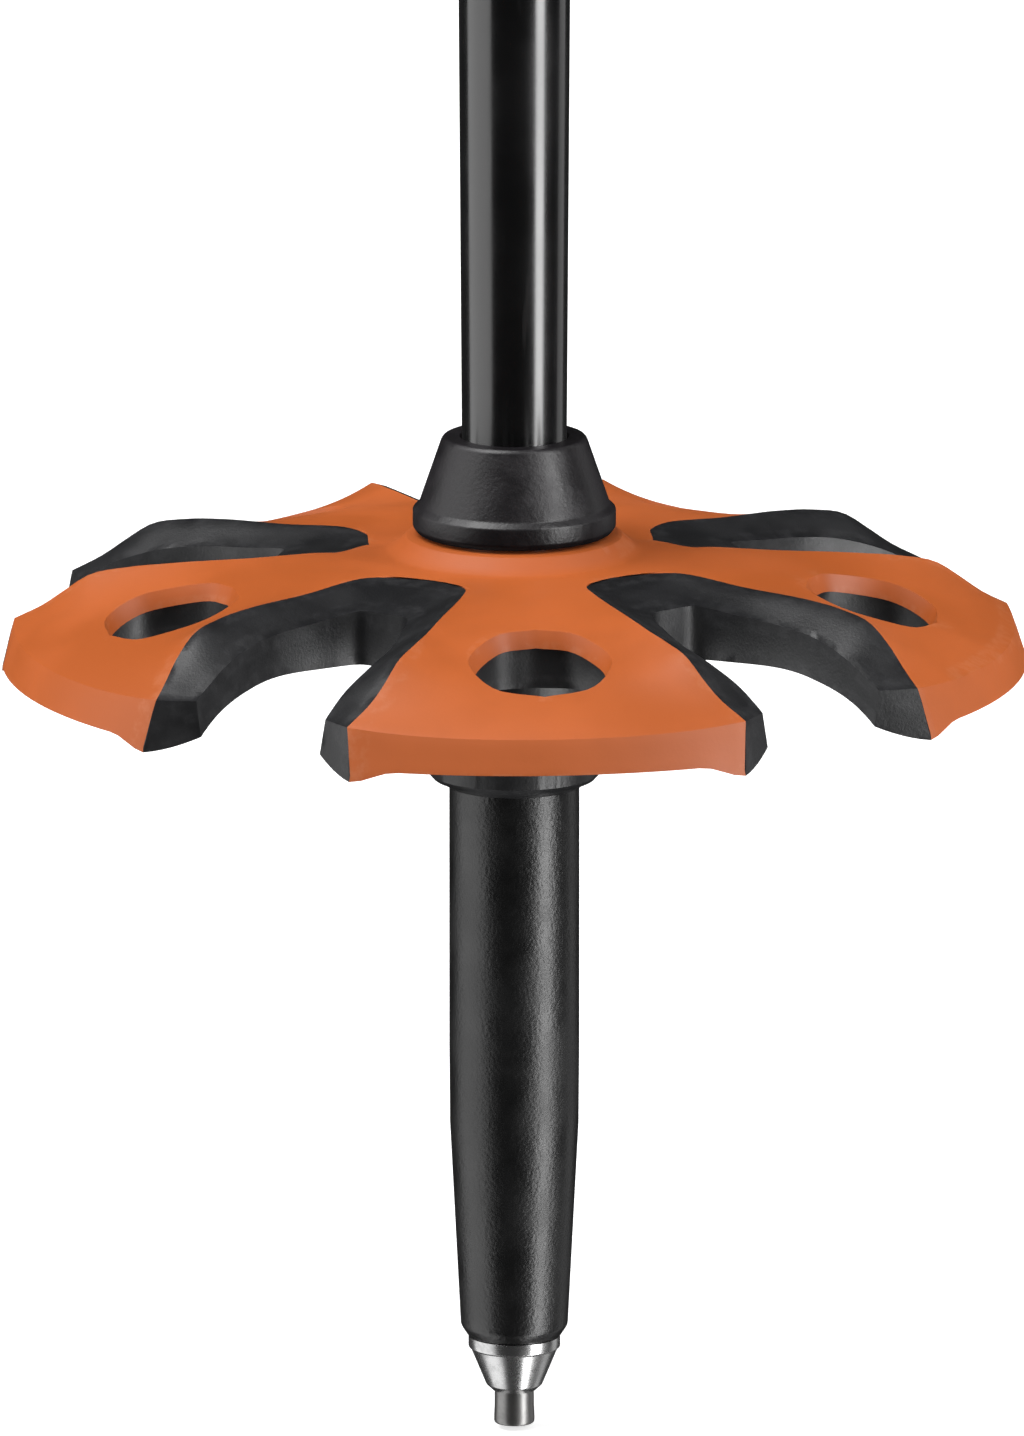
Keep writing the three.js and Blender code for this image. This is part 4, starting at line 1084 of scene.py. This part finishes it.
# %% Wedge and strap pin
bm = bmesh.new()
add_block(bm, wedge_low, wedge_high, 0.5)
make_piece(bm, "strap_wedge_moulded", "wedge", trim_black, "black_plastic", "strap_wedge")
pin_low, pin_high = corners("strap_pin")
strap_rod = spun([(0, pin_low[1]), (1.6, pin_low[1]), (2, pin_low[1] + 0.4), (2, pin_high[1] - 0.4),
                  (1.6, pin_high[1]), (0, pin_high[1])], 48)
lay_along(strap_rod, "Y", ((pin_low[0] + pin_high[0]) / 2, 0, (pin_low[2] + pin_high[2]) / 2))
make_piece(strap_rod, "strap_pin_turned", "upper_section", ferrule_steel, "steel", "strap_pin")

# %% Foam sleeve
foam_radius, foam_bottom, foam_top = reach("grip_extension")
FOAM_BORE = 8.4
GROOVE_DEPTH, GROOVE_SPACING = 0.55, 12
outline = [(FOAM_BORE, foam_bottom), (12.4, foam_bottom), (13, foam_bottom + 0.8)]
for z in np.arange(foam_bottom + 2, foam_top - 3, 0.75):
    up = z - foam_bottom
    radius = 13 + 1.0 * smooth_share(up, 0, 12) + (foam_radius - 14) * smooth_share(up, 12, 70)
    groove = GROOVE_DEPTH * max(0.0, math.cos(up * TURN / GROOVE_SPACING)) ** 10
    groove *= smooth_share(up, 18, 26)
    groove *= 1 - smooth_share(up, 124, 130)
    outline.append((radius - groove, z))
outline += [(foam_radius - 0.3, foam_top - 2), (foam_radius - 1.2, foam_top - 0.6),
            (foam_radius - 2, foam_top), (FOAM_BORE, foam_top)]
foam_sleeve = spun(outline, 128)
make_piece(foam_sleeve, "foam_sleeve", "upper_section", foam_black, "grip_foam", "grip_extension",
           smooth_to=60)

ring_r, low, high = reach("extension_ring")
ring = spun([(8.3, low), (9.6, low), (10.3, low + 0.5), (ring_r - 0.1, low + 3.8), (ring_r, low + 4.4),
             (ring_r, high - 1.6), (ring_r - 0.4, high - 1.3), (ring_r - 0.4, high - 0.9),
             (ring_r, high - 0.6), (ring_r, high), (8.3, high)])
soften(ring, 0.2, 30)
make_piece(ring, "sleeve_end_ring", "upper_section", orange, "orange_rubber", "extension_ring")


# %% [markdown]
# ## Wrist strap: its line
# The strap is one band of webbing. It goes round the pin in the grip, and its two legs leave the grip side
# by side through a keeper and open into the loop for the hand. Its middle line is a closed curve through
# points that were settled with the frame, so the band lies exactly where the frame's own strap lies.

# %% Line of the strap
PIN_AT = Vector(((pin_low[0] + pin_high[0]) / 2, 0, (pin_low[2] + pin_high[2]) / 2))
LEG_SLOPE = math.radians(24)
LEG_SPREAD, WRAP_RADIUS, KEEPER_AT = 1.6, 3.4, 24
LOOP = [(-41, -19), (-58, -50), (-67, -93), (-66, -138), (-53, -170), (-38, -176), (-30.5, -158), (-29, -118),
        (-30, -68), (-31, -33), (-29.5, -18.5)]


def on_legs(along, above):
    slope = (math.cos(LEG_SLOPE), math.sin(LEG_SLOPE))
    return (-along * slope[0] - above * slope[1], -along * slope[1] + above * slope[0])


leg = [(KEEPER_AT - 11, LEG_SPREAD + 1), (KEEPER_AT - 4, LEG_SPREAD), (KEEPER_AT + 4, LEG_SPREAD)]
upper_leg = [on_legs(along, above) for along, above in leg]
lower_leg = [on_legs(along, -above) for along, above in reversed(leg)]
wrap_turns = [math.radians(degrees) for degrees in (-100, -50, 0, 50, 100)]
wrap = [on_legs(-WRAP_RADIUS * math.cos(turn), WRAP_RADIUS * math.sin(turn)) for turn in wrap_turns]
LINE = np.array([*upper_leg, *LOOP, *lower_leg, *wrap])


def strap_point(t):
    """Point on a closed centripetal curve through LINE; t goes from 0 to 1 once round."""
    place = (t % 1) * len(LINE)
    i, weight = int(place), place - int(place)
    p0, p1, p2, p3 = (LINE[(i + k) % len(LINE)] for k in (-1, 0, 1, 2))
    d0, d1, d2 = (math.sqrt(math.dist(a, b)) for a, b in ((p0, p1), (p1, p2), (p2, p3)))
    m1 = ((p1 - p0) / d0 - (p2 - p0) / (d0 + d1) + (p2 - p1) / d1) * d1
    m2 = ((p2 - p1) / d1 - (p3 - p1) / (d1 + d2) + (p3 - p2) / d2) * d1
    w2, w3 = weight**2, weight**3
    return (2 * w3 - 3 * w2 + 1) * p1 + (w3 - 2 * w2 + weight) * m1 + (3 * w2 - 2 * w3) * p2 + (w3 - w2) * m2


def beside_strap(t, offset):
    """A point to one side of the line, positive towards the inside of the loop."""
    at, tangent = strap_point(t), strap_point(t + 0.0004) - strap_point(t - 0.0004)
    tangent /= np.linalg.norm(tangent)
    return PIN_AT.x + at[0] - tangent[1] * offset, PIN_AT.z + at[1] + tangent[0] * offset


strap_shares = np.linspace(0, 1, 2000)
strap_samples = np.array([strap_point(t) for t in strap_shares])
strap_run = np.concatenate([[0], np.cumsum(np.linalg.norm(np.diff(strap_samples, axis=0), axis=1))])
print("strap length, mm:", round(strap_run[-1]))


# %% [markdown]
# ## Wrist strap: woven finish
# Webbing shows ribs along its length crossed by finer picks, and lock stitches near both edges. Both
# follow the band, so they are drawn on a map that holds the length along and the distance across in
# millimetres.

# %% Weave group and webbing finish
def build_weave():
    inputs = [("Ribs", 4.2), ("Picks", 3.1), ("Stitch From Middle", 8.0), ("Stitch Length", 2.6)]
    group, start, end, coords = new_group("weave", inputs, ["Height", "Thread", "Stitch"])
    split = group.nodes.new("ShaderNodeSeparateXYZ")
    group.links.new(coords.outputs["UV"], split.inputs[0])
    along, across = split.outputs["X"], split.outputs["Y"]
    rib = math_node(group, "SINE", math_node(group, "MULTIPLY", across, start.outputs["Ribs"]), 0)
    pick = math_node(group, "SINE", math_node(group, "MULTIPLY", along, start.outputs["Picks"]), 0)
    over = math_node(group, "MULTIPLY", rib, pick)
    height = math_node(group, "ADD", math_node(group, "MULTIPLY", rib, 0.35), over)
    group.links.new(height, end.inputs["Height"])
    shade = ramp_node(group, over, -1, 1)
    group.links.new(shade.outputs[0], end.inputs["Thread"])
    from_middle = math_node(group, "ABSOLUTE", across, 0)
    side = math_node(group, "SUBTRACT", from_middle, start.outputs["Stitch From Middle"])
    line = ramp_node(group, math_node(group, "ABSOLUTE", side, 0), 0.55, 0.3)
    beat = math_node(group, "DIVIDE", along, start.outputs["Stitch Length"])
    gap = ramp_node(group, math_node(group, "PINGPONG", beat, 0.5), 0.08, 0.16)
    group.links.new(math_node(group, "MULTIPLY", line.outputs[0], gap.outputs[0]), end.inputs["Stitch"])
    return group


WEAVE = build_weave()


def woven(name, color, thread, stitch, stitch_from_middle, depth):
    finish = Finish(name, color, 0.8, specular=0.3)
    finish.shader.inputs["Sheen Weight"].default_value = 0.25
    finish.shader.inputs["Sheen Roughness"].default_value = 0.5
    weave = finish.group(WEAVE, Stitch_From_Middle=stitch_from_middle)
    grain = finish.group(GRAIN, Fine_Scale=3000, Blotch_Scale=60)
    base = finish.mix(weave.outputs["Thread"], color, thread)
    faded = finish.mix(grain.outputs["Blotch"], base, scaled(color, 1.15))
    sewn = finish.mix(weave.outputs["Stitch"], faded, stitch)
    rough = ramp_node(finish.tree, grain.outputs["Blotch"], 0, 1, smooth=False)
    rough.inputs["To Min"].default_value, rough.inputs["To Max"].default_value = 0.74, 0.86
    finish.shade(sewn, rough.outputs[0])
    raised = math_node(finish.tree, "MULTIPLY", weave.outputs["Stitch"], 4)
    finish.bump(math_node(finish.tree, "ADD", weave.outputs["Height"], raised), depth)
    return finish


STITCH_ORANGE = (0.5, 0.12, 0.03)
webbing_black = woven("webbing_black", (0.012, 0.0122, 0.013), (0.026, 0.0265, 0.028), STITCH_ORANGE, 7.6,
                      0.00012)
pad_grey = woven("pad_cloth", (0.03, 0.031, 0.033), (0.05, 0.051, 0.054), STITCH_ORANGE, 10.6, 0.00008)


# %% Bands along the strap
def lay_band(bm, rows, columns, start, end, width, near, far, ends_closed):
    """A band beside the strap's line: near and far give its two faces over t and the share across."""
    uv = bm.loops.layers.uv.new("band")
    made = bmesh.ops.create_grid(bm, x_segments=rows, y_segments=columns, size=0.5)["verts"]
    where = {vert: (vert.co.x + 0.5, vert.co.y) for vert in made}
    for face in bm.faces:
        for loop in face.loops:
            along, across = where[loop.vert]
            t = start + (end - start) * along
            loop[uv].uv = (np.interp(t, strap_shares, strap_run), across * width)
    upper = bmesh.ops.extrude_face_region(bm, geom=bm.faces[:])["geom"]
    top = [v for v in upper if isinstance(v, bmesh.types.BMVert)]
    for vert in top:
        where[vert] = (vert.co.x + 0.5, vert.co.y)
    top = set(top)
    for vert, (along, across) in where.items():
        offset = far(along, across * 2) if vert in top else near(along, across * 2)
        x, z = beside_strap(start + (end - start) * along, offset)
        vert.co = (x, across * width, z)
    if not ends_closed:
        caps = [f for f in bm.faces if len({round(where[v][0], 6) for v in f.verts}) == 1]
        bmesh.ops.delete(bm, geom=caps, context="FACES_ONLY")
        bmesh.ops.remove_doubles(bm, verts=bm.verts, dist=1e-3)
    bmesh.ops.recalc_face_normals(bm, faces=bm.faces)


WEBBING_WIDTH, HALF_THICKNESS, EDGE_ROUNDING = 20, 0.92, 0.35


def webbing_face(t, across):
    """Distance of the webbing's inner face from the strap's line, a little less at its two edges."""
    return HALF_THICKNESS - EDGE_ROUNDING * smooth_share(abs(across), 0.86, 1)


bm = bmesh.new()
lay_band(bm, 352, 16, 0, 1, WEBBING_WIDTH, lambda t, across: -webbing_face(t, across), webbing_face, False)
make_piece(bm, "strap_webbing_woven", "strap", webbing_black, "strap_fabric", "strap_webbing", smooth_to=60)


# %% Wrist pad and keeper
PAD_WIDTH, PAD_SEAT = 26, 1.35
PAD_START, PAD_END = 0.19, 0.34


def pad_face(t, v):
    """Full in the middle, pressed down along the seam, and thin at its bound edges and ends."""
    end = smooth_share(t, 0, 0.07) * (1 - smooth_share(t, 0.93, 1))
    crown = (1 - abs(v) ** 5) ** 0.5
    seam = 0.45 * math.exp(-(((abs(v) - 0.815) / 0.05) ** 2))
    return PAD_SEAT + 0.55 + 1.95 * crown * (0.25 + 0.75 * end) - seam * end


bm = bmesh.new()
lay_band(bm, 90, 30, PAD_START, PAD_END, PAD_WIDTH, lambda t, v: PAD_SEAT, pad_face, True)
soften(bm, 0.2, 60, 2)
pad = make_piece(bm, "strap_pad_sewn", "strap", pad_grey, "strap_fabric", "strap_pad", smooth_to=60)

KEEPER_HALF = {"length": 3, "side": 10.3, "room": 2.9, "wall": 1.5}
bm = spun([(1, -1), (2, -1), (2, 1), (1, 1)], 4)
bmesh.ops.rotate(bm, cent=(0, 0, 0), matrix=Matrix.Rotation(math.pi / 4, 3, "Z"), verts=bm.verts)
for vert in bm.verts:
    wall = KEEPER_HALF["wall"] * (math.hypot(vert.co.x, vert.co.y) > 1.5)
    side = math.copysign(KEEPER_HALF["side"] + wall, vert.co.x)
    room = math.copysign(KEEPER_HALF["room"] + wall, vert.co.y)
    vert.co = (vert.co.z * KEEPER_HALF["length"], side, room)
bmesh.ops.recalc_face_normals(bm, faces=bm.faces)
soften(bm, 0.5, 30, 4)
bmesh.ops.rotate(bm, cent=(0, 0, 0), matrix=Matrix.Rotation(-LEG_SLOPE, 3, "Y"), verts=bm.verts)
keeper_at = on_legs(KEEPER_AT, 0)
bmesh.ops.translate(bm, vec=(PIN_AT.x + keeper_at[0], 0, PIN_AT.z + keeper_at[1]), verts=bm.verts)
make_piece(bm, "strap_keeper_moulded", "strap", trim_black, "black_plastic", "strap_keeper")


# %% [markdown]
# ## Guide bush
# The plug in the top of the lower shaft is hidden inside the upper one, so its frame solid stays and only
# gets the finish of the black trim.

# %% Finish of the guide bush
bush = bpy.data.objects["guide_bush"]
bush.data.materials.clear()
bush.data.materials.append(trim_black.material)
